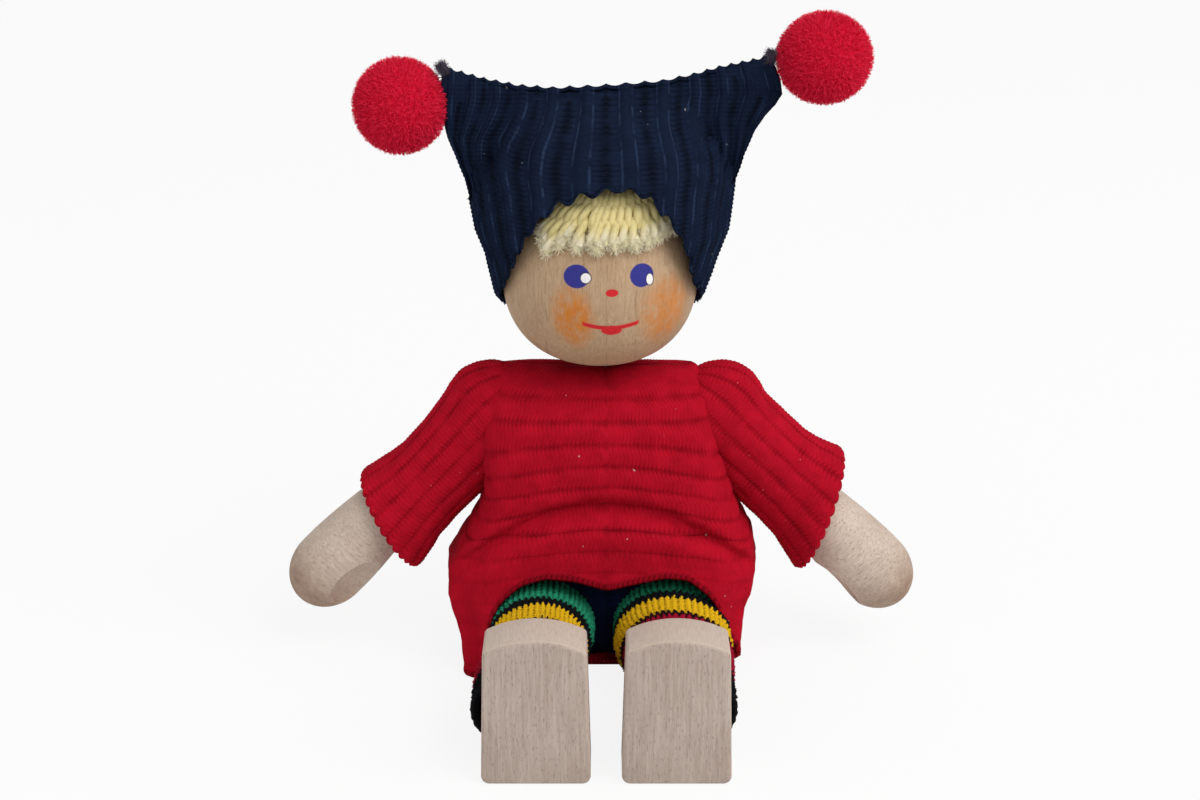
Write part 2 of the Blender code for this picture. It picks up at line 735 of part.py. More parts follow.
def hip_wire_route(sign):
    """The leg wire from inside the torso down to the hip."""
    inner, outer = sign * HIP_WIRE_OFFSET, sign * HIP_OFFSET
    return [
        (inner, 0, TORSO_BOTTOM + WIRE_SEAT_DEPTH),
        (inner, 0, TORSO_BOTTOM - GAP),
        (outer, HIP_Y, HIP_HEIGHT + LEG_RADIUS / 2),
        (outer, HIP_Y, HIP_HEIGHT + HIP_BEND_START),
    ]


def make_trouser_seat():
    """Seat of the trousers, flat where the doll sits on it and hollowed where the legs turn."""
    low = (-SEAT_HALF_WIDTH, -SEAT_FRONT, -SEAT_FLAT)
    seat = box("trouser_seat", low, (SEAT_HALF_WIDTH, TORSO_RADIUS, SEAT_TOP), navy_knit)
    rounding = seat.modifiers.new("Rounding", "BEVEL")
    rounding.width = LEG_RADIUS / 2
    rounding.segments = 4
    reach = DRESS_HALF_WIDTH
    cut(seat, box("ground", (-reach, -reach, -OVERRUN), (reach, reach, 0)))
    for side, sign in SIDES:
        hip = Vector((sign * HIP_OFFSET, HIP_Y, HIP_HEIGHT))
        inner, outer = sign * (HIP_OFFSET - LEG_RADIUS), sign * (HIP_OFFSET + LEG_RADIUS)
        lap = box(
            "lap_space_" + side,
            (min(inner, outer), -SEAT_FRONT - OVERRUN, -OVERRUN),
            (max(inner, outer), HIP_Y, SEAT_TOP + OVERRUN),
        )
        down = Vector((0, 0, -1)) * (HIP_HEIGHT + OVERRUN)
        standing = rod("standing_space_" + side, LEG_RADIUS, hip, hip + down, segments=TURN_STEPS)
        channel = wire("hip_channel_" + side, hip_wire_route(sign), radius=BORE_RADIUS)
        cut(seat, ball("hip_space_" + side, LEG_RADIUS + GAP, hip), lap, standing, as_mesh(channel))
    return seat


def make_foot(side, sign, ankle):
    """Wooden block with an arched toe and eased edges, drilled for the leg wire."""
    half = FOOT_WIDTH / 2
    shoulder = FOOT_LENGTH - FOOT_TOE_SAGITTA
    toe_radius = (half**2 + FOOT_TOE_SAGITTA**2) / (2 * FOOT_TOE_SAGITTA)
    toe_angle = math.asin(half / toe_radius)
    outline = []
    for step in range(DOME_STEPS + 1):
        angle = toe_angle * (1 - 2 * step / DOME_STEPS)
        arch = toe_radius * (math.cos(angle) - math.cos(toe_angle))
        outline.append((toe_radius * math.sin(angle), shoulder + arch))
    for corner_x, start_angle in ((-half + FOOT_CORNER, math.pi), (half - FOOT_CORNER, 1.5 * math.pi)):
        for step in range(4):
            angle = start_angle + math.pi / 2 * step / 3
            outline.append((corner_x + FOOT_CORNER * math.cos(angle), FOOT_CORNER * (1 + math.sin(angle))))
    curve = bpy.data.curves.new("foot_" + side, "CURVE")
    curve.dimensions = "2D"
    curve.fill_mode = "BOTH"
    curve.extrude = FOOT_THICKNESS / 2
    spline = curve.splines.new("POLY")
    spline.use_cyclic_u = True
    spline.points.add(len(outline) - 1)
    for point, (x, y) in zip(spline.points, outline):
        point.co = (x, y, 0, 1)
    foot = as_mesh(add("foot_" + side, curve, wood), wood)
    foot.location = (sign * HIP_OFFSET, FOOT_BACK_Y - FOOT_THICKNESS / 2, 0)
    foot.rotation_euler = (math.pi / 2, 0, 0)
    eased = foot.modifiers.new("Eased edges", "BEVEL")
    eased.width = FOOT_EDGE
    eased.segments = 2
    bore_end = (ankle.x, FOOT_BACK_Y - FOOT_BORE_DEPTH, ankle.z)
    bore = rod("foot_bore_" + side, BORE_RADIUS, ankle, bore_end)
    cut(foot, bore)
    return foot


def make_leg(side, sign, root):
    """One leg: bent wire at the hip, padded thigh and shin in a trouser leg, and the foot."""
    hip = Vector((sign * HIP_OFFSET, HIP_Y, HIP_HEIGHT))
    knee = Vector((sign * HIP_OFFSET, KNEE_Y, HIP_HEIGHT))
    ankle = Vector((sign * HIP_OFFSET, ANKLE_Y, HIP_HEIGHT))
    forward, upward = Vector((0, -1, 0)), Vector((0, 0, 1))
    hip_wire = wire("hip_wire_" + side, hip_wire_route(sign), steel)
    hip_bend = ball("hip_bend_" + side, HIP_BEND_RADIUS, hip, steel, SLIM_STEPS)
    thigh_wire = limb_wire("thigh_wire_" + side, -HIP_BEND_START, -THIGH_LENGTH, True)
    thigh_padding = make_padding("thigh_padding_" + side, PADDING_START, THIGH_LENGTH - PADDING_START)
    shin_wire = limb_wire("shin_wire_" + side, -BEND_START, -SHIN_LENGTH, True)
    shin_padding = make_padding("shin_padding_" + side, PADDING_START, SHIN_LENGTH - PADDING_START)
    foot_wire_end = ankle.y - FOOT_BACK_Y + FOOT_BORE_DEPTH - GAP
    foot_wire = limb_wire("foot_wire_" + side, -BEND_START, -foot_wire_end, False)
    outer = [(share * LEG_RADIUS, -along * LEG_LENGTH) for along, share in LEG_SHARES]
    trouser_leg = turned("trouser_leg_" + side, wall_profile(outer), striped_knit, closed=True)
    for piece, place in (
        (thigh_wire, hip), (thigh_padding, hip), (trouser_leg, hip),
        (shin_wire, knee), (shin_padding, knee), (foot_wire, ankle),
    ):
        aim(piece, place, forward, upward)
    hip_pivot = pivot("hip_pivot_" + side, hip, root)
    knee_pivot = pivot("knee_pivot_" + side, knee, hip_pivot)
    ankle_pivot = pivot("ankle_pivot_" + side, ankle, knee_pivot)
    hang(root, hip_wire)
    hang(hip_pivot, hip_bend, thigh_wire, thigh_padding, trouser_leg)
    hang(knee_pivot, shin_wire, shin_padding)
    hang(ankle_pivot, foot_wire, make_foot(side, sign, ankle))


def make_doll():
    """The whole doll, from the torso outwards."""
    root = pivot("doll", (0, 0, 0))
    hang(root, make_torso(), make_bodice(), make_skirt(), make_trouser_seat())
    neck_wire, head_pieces = make_head()
    neck_pivot = pivot("neck_pivot", (0, 0, NECK_PIVOT_HEIGHT), root)
    hang(neck_pivot, neck_wire, *head_pieces, make_hat(), make_fringe(), *make_pompoms())
    dress_space = make_dress_space()
    for side, sign in SIDES:
        make_arm(side, sign, root, dress_space)
        make_leg(side, sign, root)


make_doll()
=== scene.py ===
import json
import math

import bmesh
import bpy
import numpy as np
from mathutils import Matrix, Vector


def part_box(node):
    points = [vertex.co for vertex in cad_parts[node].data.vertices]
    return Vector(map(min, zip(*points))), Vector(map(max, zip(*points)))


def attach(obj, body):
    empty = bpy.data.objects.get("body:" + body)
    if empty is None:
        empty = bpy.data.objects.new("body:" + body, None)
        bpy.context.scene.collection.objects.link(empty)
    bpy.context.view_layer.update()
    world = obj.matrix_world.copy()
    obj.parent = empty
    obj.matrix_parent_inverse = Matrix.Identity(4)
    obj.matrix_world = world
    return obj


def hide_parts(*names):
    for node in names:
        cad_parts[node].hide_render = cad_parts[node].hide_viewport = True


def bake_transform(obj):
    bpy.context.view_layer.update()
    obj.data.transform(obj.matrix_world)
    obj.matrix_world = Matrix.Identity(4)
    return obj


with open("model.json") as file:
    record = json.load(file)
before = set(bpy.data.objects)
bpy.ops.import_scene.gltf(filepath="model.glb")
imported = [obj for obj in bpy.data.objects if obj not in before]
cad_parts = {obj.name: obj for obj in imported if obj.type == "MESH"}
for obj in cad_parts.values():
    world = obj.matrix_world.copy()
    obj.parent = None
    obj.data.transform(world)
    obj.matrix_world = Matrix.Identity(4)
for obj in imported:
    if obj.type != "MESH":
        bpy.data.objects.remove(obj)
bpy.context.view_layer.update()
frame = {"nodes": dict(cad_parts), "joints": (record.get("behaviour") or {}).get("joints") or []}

# The doll is seen from straight in front of its soles and a little above.
# The lens, distance and height are those of the picture.
CAMERA_TARGET = Vector((-0.0009, 0, 0.0420))
CAMERA_DISTANCE = 0.300
CAMERA_ELEVATION = math.radians(20)
CAMERA_LENS = 57.65

camera = bpy.data.objects.new("camera", bpy.data.cameras.new("camera"))
bpy.context.scene.collection.objects.link(camera)
bpy.context.scene.camera = camera
camera.data.lens = CAMERA_LENS
camera.data.clip_start = CAMERA_DISTANCE / 100
backwards = Vector((0, -math.cos(CAMERA_ELEVATION), math.sin(CAMERA_ELEVATION)))
camera.location = CAMERA_TARGET + backwards * CAMERA_DISTANCE
camera.rotation_euler = (-backwards).to_track_quat("-Z", "Y").to_euler()
bpy.context.scene.view_settings.view_transform = "Standard"


# Torso: a short turned body of bare beech that the clothes hang on. Soft steel wires run from it into
# the head, hands and feet, so that the doll holds any pose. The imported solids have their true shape.
BEECH_LIGHT = (222, 198, 168)
BEECH_DARK = (186, 152, 118)
STEEL = (150, 150, 152)


class Signal:
    """A node's output that Python's own operators work on."""

    def __init__(self, nodes, socket):
        self.nodes = nodes
        self.socket = socket

    def math(self, operation, *others):
        return self.nodes.add("ShaderNodeMath", {"operation": operation}, [self, *others])

    def __add__(self, other):
        return self.math("ADD", other)

    def __sub__(self, other):
        return self.math("SUBTRACT", other)

    def __mul__(self, other):
        return self.math("MULTIPLY", other)

    def __truediv__(self, other):
        return self.math("DIVIDE", other)

    def __pow__(self, other):
        return self.math("POWER", other)

    def __rsub__(self, other):
        return self.nodes.add("ShaderNodeMath", {"operation": "SUBTRACT"}, [other, self])

    def __neg__(self):
        return self * -1

    def __abs__(self):
        return self.math("ABSOLUTE")

    __radd__ = __add__
    __rmul__ = __mul__

    def step(self, low, high):
        """A smooth step from 0 at low to 1 at high."""
        sockets = {"Value": self, "From Min": low, "From Max": high}
        return self.nodes.add("ShaderNodeMapRange", {"interpolation_type": "SMOOTHSTEP"}, sockets)

    def below(self, edge, softness):
        """1 where this is below an edge, softly."""
        return 1 - self.step(edge - softness, edge + softness)


class Nodes:
    """A node tree that is written in sums."""

    def __init__(self, tree):
        self.tree = tree

    def add(self, kind, settings=(), sockets=(), output=0):
        """Add a node: its settings first, then the values or links of its sockets."""
        node = self.tree.nodes.new(kind)
        for name, value in dict(settings).items():
            setattr(node, name, value)
        pairs = sockets.items() if isinstance(sockets, dict) else enumerate(sockets)
        for name, value in pairs:
            if isinstance(value, Signal):
                self.tree.links.new(value.socket, node.inputs[name])
            else:
                node.inputs[name].default_value = value
        return Signal(self, node.outputs[output])


def seen(red, green, blue):
    """The colour that shows as these three bytes, as a linear colour."""
    parts = [value / 255 for value in (red, green, blue)]
    return (*[part / 12.92 if part < 0.04045 else ((part + 0.055) / 1.055) ** 2.4 for part in parts], 1)


class Finish(Nodes):
    """A material with one Principled shader."""

    def __init__(self, name, roughness, metallic=0.0, gloss=0.3):
        self.material = bpy.data.materials.new(name)
        self.material.use_nodes = True
        super().__init__(self.material.node_tree)
        self.shader = self.tree.nodes["Principled BSDF"]
        self.shader.inputs["Roughness"].default_value = roughness
        self.shader.inputs["Metallic"].default_value = metallic
        self.shader.inputs["Specular IOR Level"].default_value = gloss

    def millimetres(self):
        """The object's own X, Y and Z in millimetres."""
        place = self.add("ShaderNodeTexCoord", output=3)
        scaled = self.add("ShaderNodeVectorMath", {"operation": "SCALE"}, {0: place, "Scale": 1000})
        split = self.add("ShaderNodeSeparateXYZ", (), [scaled])
        outputs = split.socket.node.outputs
        return [Signal(self, outputs[axis]) for axis in range(3)]

    def noise(self, place, detail=3.0, roughness=0.55):
        """Cloudy noise from 0 to 1 at a place that is given as three signals or numbers."""
        joined = self.add("ShaderNodeCombineXYZ", (), place)
        sockets = {"Vector": joined, "Scale": 1.0, "Detail": detail, "Roughness": roughness}
        return self.add("ShaderNodeTexNoise", (), sockets)

    def attribute(self, name):
        """A number that the mesh carries."""
        return self.add("ShaderNodeAttribute", {"attribute_name": name}, output=2)

    def mix(self, share, first, second, mode="MIX"):
        """One colour at share 0, the other at share 1."""
        settings = {"data_type": "RGBA", "blend_type": mode}
        return self.add("ShaderNodeMix", settings, {0: share, 6: first, 7: second}, output=2)

    def bump(self, height, depth):
        """Raise the surface by a height from 0 to 1, as deep as depth."""
        sockets = {"Height": height, "Distance": depth, "Strength": 1.0}
        self.paint("Normal", self.add("ShaderNodeBump", (), sockets))

    def paint(self, name, signal):
        """Feed a signal to one of the shader's inputs."""
        self.tree.links.new(signal.socket, self.shader.inputs[name])


def wood_finish(name, light, dark, fleck, slant=0.0, fleck_amount=0.5):
    """Bare close-grained wood whose grain runs up, or slants towards the sides: streaks and pore flecks."""
    wood = Finish(name, 0.62)
    x, y, z = wood.millimetres()
    sideways = abs(x) * math.cos(slant) + z * math.sin(slant)
    along = z * math.cos(slant) - abs(x) * math.sin(slant)
    streak = wood.noise([sideways * 2.6, y * 2.6, along * 0.14])
    fibre = wood.noise([sideways * 8, y * 8, along * 0.6], 2.0)
    cloud = wood.noise([sideways * 0.22, y * 0.22, along * 0.1], 2.0)
    pore = wood.noise([sideways * 4.4 + 7, y * 4.4, along * 1.1], 1.0).step(0.62, 0.70)
    grain = streak * 0.5 + fibre * 0.3 + cloud * 0.35
    body = wood.mix(grain.step(0.32, 0.84), seen(*dark), seen(*light))
    wood.paint("Base Color", wood.mix(pore * fleck_amount, body, seen(*fleck)))
    wood.paint("Roughness", 0.56 + fibre * 0.16)
    wood.bump(fibre * 0.5 + streak * 0.4 - pore * 0.7, 0.00006)
    return wood


BEECH_FLECK = (138, 104, 76)
torso_wood = wood_finish("torso_beech", BEECH_LIGHT, BEECH_DARK, BEECH_FLECK)
frame["nodes"]["torso_core"].data.materials.clear()
frame["nodes"]["torso_core"].data.materials.append(torso_wood.material)

steel = Finish("annealed_steel", 0.38, metallic=1.0)
across, deep, height = steel.millimetres()
draw_lines = steel.noise([across * 7, deep * 7, height * 7], 4.0)
steel.paint("Base Color", steel.mix(draw_lines, seen(96, 96, 99), seen(*STEEL)))
steel.paint("Roughness", 0.28 + draw_lines * 0.3)
steel.bump(draw_lines, 0.00002)
for node_name, node in frame["nodes"].items():
    if "_wire" in node_name or "hip_bend" in node_name:
        node.data.materials.clear()
        node.data.materials.append(steel.material)


# Padding: cotton yarn wound tightly round the arm and leg wires, which gives the limbs their thickness
# inside the clothes. Each stretch of winding stops short of the next bend.
WINDING_PITCH = 0.0009
WINDING_DEPTH = 0.00025
WINDING_ROWS_PER_TURN = 6
COTTON = (226, 220, 204)
COTTON_SHADE = (176, 168, 150)


def centre_of(node_name):
    """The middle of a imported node's box."""
    low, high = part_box(node_name)
    return (low + high) / 2


def grid_mesh(name, places, closed_across, closed_along, **attributes):
    """A mesh through a grid of places, rows by columns, with one number for each attribute and place."""
    rows, columns = places.shape[:2]
    mesh = bpy.data.meshes.new(name)
    index = np.arange(rows * columns).reshape(rows, columns)
    lower = index if closed_along else index[:-1]
    upper = np.roll(index, -1, axis=0) if closed_along else index[1:]
    if closed_across:
        corners = [lower, np.roll(lower, -1, axis=1), np.roll(upper, -1, axis=1), upper]
    else:
        corners = [lower[:, :-1], lower[:, 1:], upper[:, 1:], upper[:, :-1]]
    faces = np.stack(corners, axis=-1).reshape(-1, 4)
    points = places.reshape(-1, 3)
    first, second, third, fourth = (points[faces[:, corner]] for corner in range(4))
    volume = (first * np.cross(second - first, third - first)).sum()
    volume += (first * np.cross(third - first, fourth - first)).sum()
    if volume < 0:
        faces = faces[:, ::-1]
    mesh.vertices.add(len(points))
    mesh.vertices.foreach_set("co", points.astype(np.float32).ravel())
    mesh.loops.add(faces.size)
    mesh.loops.foreach_set("vertex_index", faces.astype(np.int32).ravel())
    mesh.polygons.add(len(faces))
    mesh.polygons.foreach_set("loop_start", np.arange(len(faces), dtype=np.int32) * 4)
    mesh.update(calc_edges=True)
    mesh.shade_smooth()
    for attribute_name, values in attributes.items():
        attribute = mesh.attributes.new(attribute_name, "FLOAT", "POINT")
        attribute.data.foreach_set("value", np.broadcast_to(values, (rows, columns)).astype(np.float32).ravel())
    return mesh


def show(name, mesh, material=None):
    """Put a mesh in the scene as a piece."""
    if material:
        mesh.materials.clear()
        mesh.materials.append(material)
    piece = bpy.data.objects.new(name, mesh)
    bpy.context.scene.collection.objects.link(piece)
    return piece


def stack(*rows):
    """Rows of places or numbers laid one after another."""
    return np.concatenate([np.atleast_2d(row) if row.ndim < 3 else row for row in rows])


cotton = Finish("wound_cotton", 0.95, gloss=0.05)
turn, fluff = cotton.attribute("rib"), cotton.noise([signal * 5 for signal in cotton.millimetres()])
# Painted shade: the grooves between the turns of the winding take the darker cotton colour.
groove = turn.math("PINGPONG", 0.5) * 2
cotton_tone = (groove * 0.7 + fluff * 0.5).step(0.1, 0.9)
cotton.paint("Base Color", cotton.mix(cotton_tone, seen(*COTTON_SHADE), seen(*COTTON)))
cotton.bump(fluff, 0.0001)

ARM_DROOP = math.radians(46)
ARM_AXES = {
    "left": Vector((math.cos(ARM_DROOP), 0, -math.sin(ARM_DROOP))),
    "right": Vector((-math.cos(ARM_DROOP), 0, -math.sin(ARM_DROOP))),
}
LEG_AXIS = Vector((0, -1, 0))
SIDES = (("left", 1), ("right", -1))


def frame_across(axis):
    """Two directions square to a limb's axis: towards the front or up, and the one across."""
    upward = Vector((0, 0, 1)) if abs(axis.y) > 0.5 else Vector((0, -1, 0))
    return upward, axis.cross(upward)


def round_limb(origin, axis, along, radius, angle, depth_share=1.0):
    """Places on a round limb: distance along its axis, radius and angle, each a grid of numbers."""
    upward, across = frame_across(axis)
    places = np.array(origin) + along[..., None] * np.array(axis)
    places = places + (radius * np.cos(angle) * depth_share)[..., None] * np.array(upward)
    return places + (radius * np.sin(angle))[..., None] * np.array(across)


for part, body_part, axes in (
    ("upper_arm", "upper_arm", ARM_AXES),
    ("forearm", "forearm", ARM_AXES),
    ("thigh", "thigh", {"left": LEG_AXIS, "right": LEG_AXIS}),
    ("shin", "shin", {"left": LEG_AXIS, "right": LEG_AXIS}),
):
    for side, sign in SIDES:
        node_name = part + "_padding_" + side
        points = np.array([vertex.co for vertex in frame["nodes"][node_name].data.vertices])
        middle = np.array(centre_of(node_name))
        distances = (points - middle) @ np.array(axes[side])
        half_length = distances.max()
        full_radius = np.linalg.norm(points - middle - np.outer(distances, axes[side]), axis=1).max()
        bore_radius = np.linalg.norm(points - middle - np.outer(distances, axes[side]), axis=1).min()
        row_count = max(3, round(2 * half_length / WINDING_PITCH * WINDING_ROWS_PER_TURN))
        angle = np.linspace(0, 2 * np.pi, 48, endpoint=False)[None, :]
        along = np.linspace(-half_length, half_length, row_count)[:, None] + 0 * angle
        winding = along / WINDING_PITCH + angle / (2 * np.pi)
        rounding = np.sqrt(1 - 0.30 * (along / half_length) ** 8)
        radius = full_radius * rounding - WINDING_DEPTH * (1 - np.abs(np.sin(np.pi * winding)))
        bore = bore_radius + 0 * angle
        along = stack(along, along[-1:], along[:1])
        radius = stack(radius, bore, bore)
        winding = stack(winding, winding[-1:], winding[:1])
        places = round_limb(middle, axes[side], along, radius, angle + 0 * along)
        mesh = grid_mesh(node_name + "_winding", places, True, True, rib=winding)
        piece = show(node_name + "_winding", mesh, cotton.material)
        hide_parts(node_name)
        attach(piece, body_part + "_" + side)


# Head: a turned ball of beech, sanded and left bare, with the face painted on in acrylics: blue eyes
# with a white dot, a red dab of a nose, a thin red mouth with a lower lip and rubbed orange cheeks.
HEAD_LIGHT = (198, 168, 136)
HEAD_DARK = (168, 136, 104)
HEAD_FLECK = (126, 90, 62)
EYE_BLUE = (44, 44, 132)
EYE_RIM = (24, 22, 60)
EYE_WHITE = (244, 242, 238)
LIP_RED = (206, 28, 38)
CHEEK_ORANGE = (206, 118, 12)
GRAIN_LINES = (0.1, 4.4, 8.5, -3.4, -8.8)
JAW_POWER = 2.4
HEAD_SHIFT = -0.0009
HEAD_SEGMENTS = 192
EYE_SPOTS = (
    {"turn": -16.6, "lift": 8.7, "half_wide": 1.93, "half_high": 1.74},
    {"turn": 21.1, "lift": 8.4, "half_wide": 1.93, "half_high": 1.74},
)
EYE_LIGHTS = (
    {"turn": -11.4, "lift": 8.0, "half_wide": 0.72, "half_high": 0.72},
    {"turn": 25.9, "lift": 5.6, "half_wide": 0.56, "half_high": 0.80},
)
NOSE_SPOT = {"turn": 3.2, "lift": -0.4, "half_wide": 0.95, "half_high": 0.58}
LIP_SPOT = {"turn": 3.3, "lift": -23.6, "half_wide": 1.50, "half_high": 0.86}
MOUTH = {"turn": 3.0, "lift": -21.9, "half_wide": 4.6, "half_high": 0.35, "rise": 0.038}
CHEEK_SPOTS = (
    {"turn": -19.5, "lift": -17.5, "half_wide": 2.8, "half_high": 4.6, "strength": 0.90},
    {"turn": 40.0, "lift": -16.0, "half_wide": 4.4, "half_high": 5.2, "strength": 0.70},
)

head_low, head_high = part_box("head")
head_radius = (head_high.x - head_low.x) / 2
head_centre = Vector((0, 0, head_high.z - head_radius))

head = wood_finish("painted_head", HEAD_LIGHT, HEAD_DARK, HEAD_FLECK, fleck_amount=0.12)
x, y, z = head.millimetres()
radius_mm = head_radius * 1000
around = x.math("ARCTAN2", -y) * radius_mm
upwards = ((z - head_centre.z * 1000) / radius_mm).math("ARCSINE") * radius_mm
brush = (head.noise([x * 1.1, y * 1.1, z * 1.1], 2.0) - 0.5) * 0.34


def spot(turn, lift, half_wide, half_high, softness=0.10, wobble=1.0):
    """1 inside an oval spot on the face, whose middle is given by its turn and lift in degrees."""
    side_reach = (around - math.radians(turn) * radius_mm) * math.cos(math.radians(lift)) / half_wide
    high_reach = (upwards - math.radians(lift) * radius_mm) / half_high
    reach = (side_reach * side_reach + high_reach * high_reach).math("SQRT")
    return (reach + brush * wobble * 0.35).below(1.0, softness)


bare = Signal(head, head.shader.inputs["Base Color"].links[0].from_socket)
rubbed = head.noise([x * 0.75 + 3, y * 0.75, z * 0.55], 4.0, 0.7)
streaked = head.noise([x * 3.2, y * 3.2, z * 0.35], 3.0)
face = bare
wander = (head.noise([z * 0.25, z * 0.02, z * 0.02], 2.0) - 0.5) * 0.8
broken = head.noise([x * 0.4 + 2, z * 0.5, 0.0], 3.0).step(0.36, 0.60)
for place in GRAIN_LINES:
    face = head.mix(abs(x - place + wander).below(0.07, 0.07) * broken * 0.45, face, seen(*HEAD_FLECK))
for cheek in CHEEK_SPOTS:
    size = {key: cheek[key] for key in ("turn", "lift", "half_wide", "half_high")}
    tint = spot(**size, softness=0.46, wobble=2.6) * (rubbed * 0.9 + streaked * 0.35).step(0.30, 0.74)
    face = head.mix(tint * cheek["strength"], face, seen(*CHEEK_ORANGE))
for eye, light in zip(EYE_SPOTS, EYE_LIGHTS):
    face = head.mix(spot(**eye, softness=0.05, wobble=0.5), face, seen(*EYE_BLUE))
    rim = dict(light, half_wide=light["half_wide"] + 0.14, half_high=light["half_high"] + 0.14)
    face = head.mix(spot(**rim, softness=0.15), face, seen(*EYE_RIM))
    face = head.mix(spot(**light, softness=0.10), face, seen(*EYE_WHITE))
face = head.mix(spot(**NOSE_SPOT, softness=0.08), face, seen(*LIP_RED))
from_middle = around - math.radians(MOUTH["turn"]) * radius_mm
mouth_line = upwards - math.radians(MOUTH["lift"]) * radius_mm - from_middle * from_middle * MOUTH["rise"]
taper = 1 - (abs(from_middle) / MOUTH["half_wide"]) ** 3
mouth = abs(mouth_line + brush * 0.3).below(MOUTH["half_high"], 0.10) * taper.step(0.0, 0.3)
lips = mouth.math("MAXIMUM", spot(**LIP_SPOT, softness=0.10))
head.paint("Base Color", head.mix(lips, face, seen(*LIP_RED)))


def sphere_mesh(name, radius, segments):
    """A fine ball with square faces round it."""
    mesh = bpy.data.meshes.new(name)
    shell = bmesh.new()
    bmesh.ops.create_uvsphere(shell, u_segments=segments, v_segments=segments // 2, radius=radius)
    shell.to_mesh(mesh)
    shell.free()
    mesh.shade_smooth()
    return mesh


head_mesh = sphere_mesh("painted_head", head_radius, HEAD_SEGMENTS)
places = np.empty(len(head_mesh.vertices) * 3, np.float32)
head_mesh.vertices.foreach_get("co", places)
places = places.reshape(-1, 3) / head_radius
jaw = places[:, 2] < 0
flat_reach = np.maximum(np.linalg.norm(places[jaw, :2], axis=1, keepdims=True), 1e-6)
places[jaw, :2] *= flat_reach ** (2 / JAW_POWER - 1)
places[jaw, 2] = -np.abs(places[jaw, 2]) ** (2 / JAW_POWER)
head_mesh.vertices.foreach_set("co", (places * head_radius).ravel())
head_mesh.transform(Matrix.Translation(head_centre + Vector((HEAD_SHIFT, 0, 0))))
head_piece = show("painted_head", head_mesh, head.material)
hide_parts("head")
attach(head_piece, "head")


# Hands: turned beech with a round tip and a shallow palm cut with a round cutter. They are drilled at
# the wrist and glued on the ends of the arm wires.
HAND_LIGHT = (222, 204, 188)
HAND_DARK = (184, 164, 148)
HAND_FLECK = (122, 98, 80)
HAND_END_GRAIN_AND_SHADE = (134, 98, 72)
HAND_LENGTH = 0.0210
HAND_RADIUS = 0.0061
HAND_SHARES = ((0.00, 0.80), (0.04, 0.86), (0.20, 0.92), (0.36, 0.97), (0.52, 1.00), (0.66, 1.00))
HAND_DOME_SHARE = 0.66
HAND_SEGMENTS = 96
HAND_START = 0.0110
PALM_LENGTH = 0.0150
PALM_WIDTH = 0.0092
PALM_DEPTH = 0.0016
PALM_SETBACK = 0.0115
PALM_TURNS = {"left": math.radians(16), "right": math.radians(46)}
HAND_SHIFTS = {"left": (0, 0, 0), "right": (-0.0014, 0, 0.0002)}
ELBOW_DISTANCE = 0.0125
joint_places = {joint["name"]: Vector(joint["pos_m"]) for joint in frame["joints"]}
hand_wood = wood_finish(
    "hand_beech", HAND_LIGHT, HAND_DARK, HAND_FLECK, slant=math.radians(-46), fleck_amount=0.32
)
x, y, z = hand_wood.millimetres()
# The tips are painted browner towards their ends: partly the darker end grain of the wood, partly painted shade.
reach = (abs(x) - 25.68) * 0.695 - (z - 31.21) * 0.719
end_grain_and_shade = reach.step(22, 31) * (0.30 + hand_wood.noise([x * 0.6, y * 0.6, z * 0.6]) * 0.8)
bare = Signal(hand_wood, hand_wood.shader.inputs["Base Color"].links[0].from_socket)
hand_wood.paint("Base Color", hand_wood.mix(end_grain_and_shade, bare, seen(*HAND_END_GRAIN_AND_SHADE)))


def finished(obj, smooth_angle=None):
    """The object's mesh with its modifiers applied and its place kept, as a plain mesh."""
    bpy.context.view_layer.update()
    evaluated = obj.evaluated_get(bpy.context.evaluated_depsgraph_get())
    mesh = bpy.data.meshes.new_from_object(evaluated)
    mesh.transform(obj.matrix_world)
    bpy.data.objects.remove(obj)
    if smooth_angle:
        mesh.shade_smooth()
        mesh.set_sharp_from_angle(angle=smooth_angle)
    return mesh


def capped(mesh):
    """The same mesh with its open ends closed."""
    shell = bmesh.new()
    shell.from_mesh(mesh)
    bmesh.ops.holes_fill(shell, edges=shell.edges)
    bmesh.ops.recalc_face_normals(shell, faces=shell.faces)
    shell.to_mesh(mesh)
    shell.free()
    return mesh


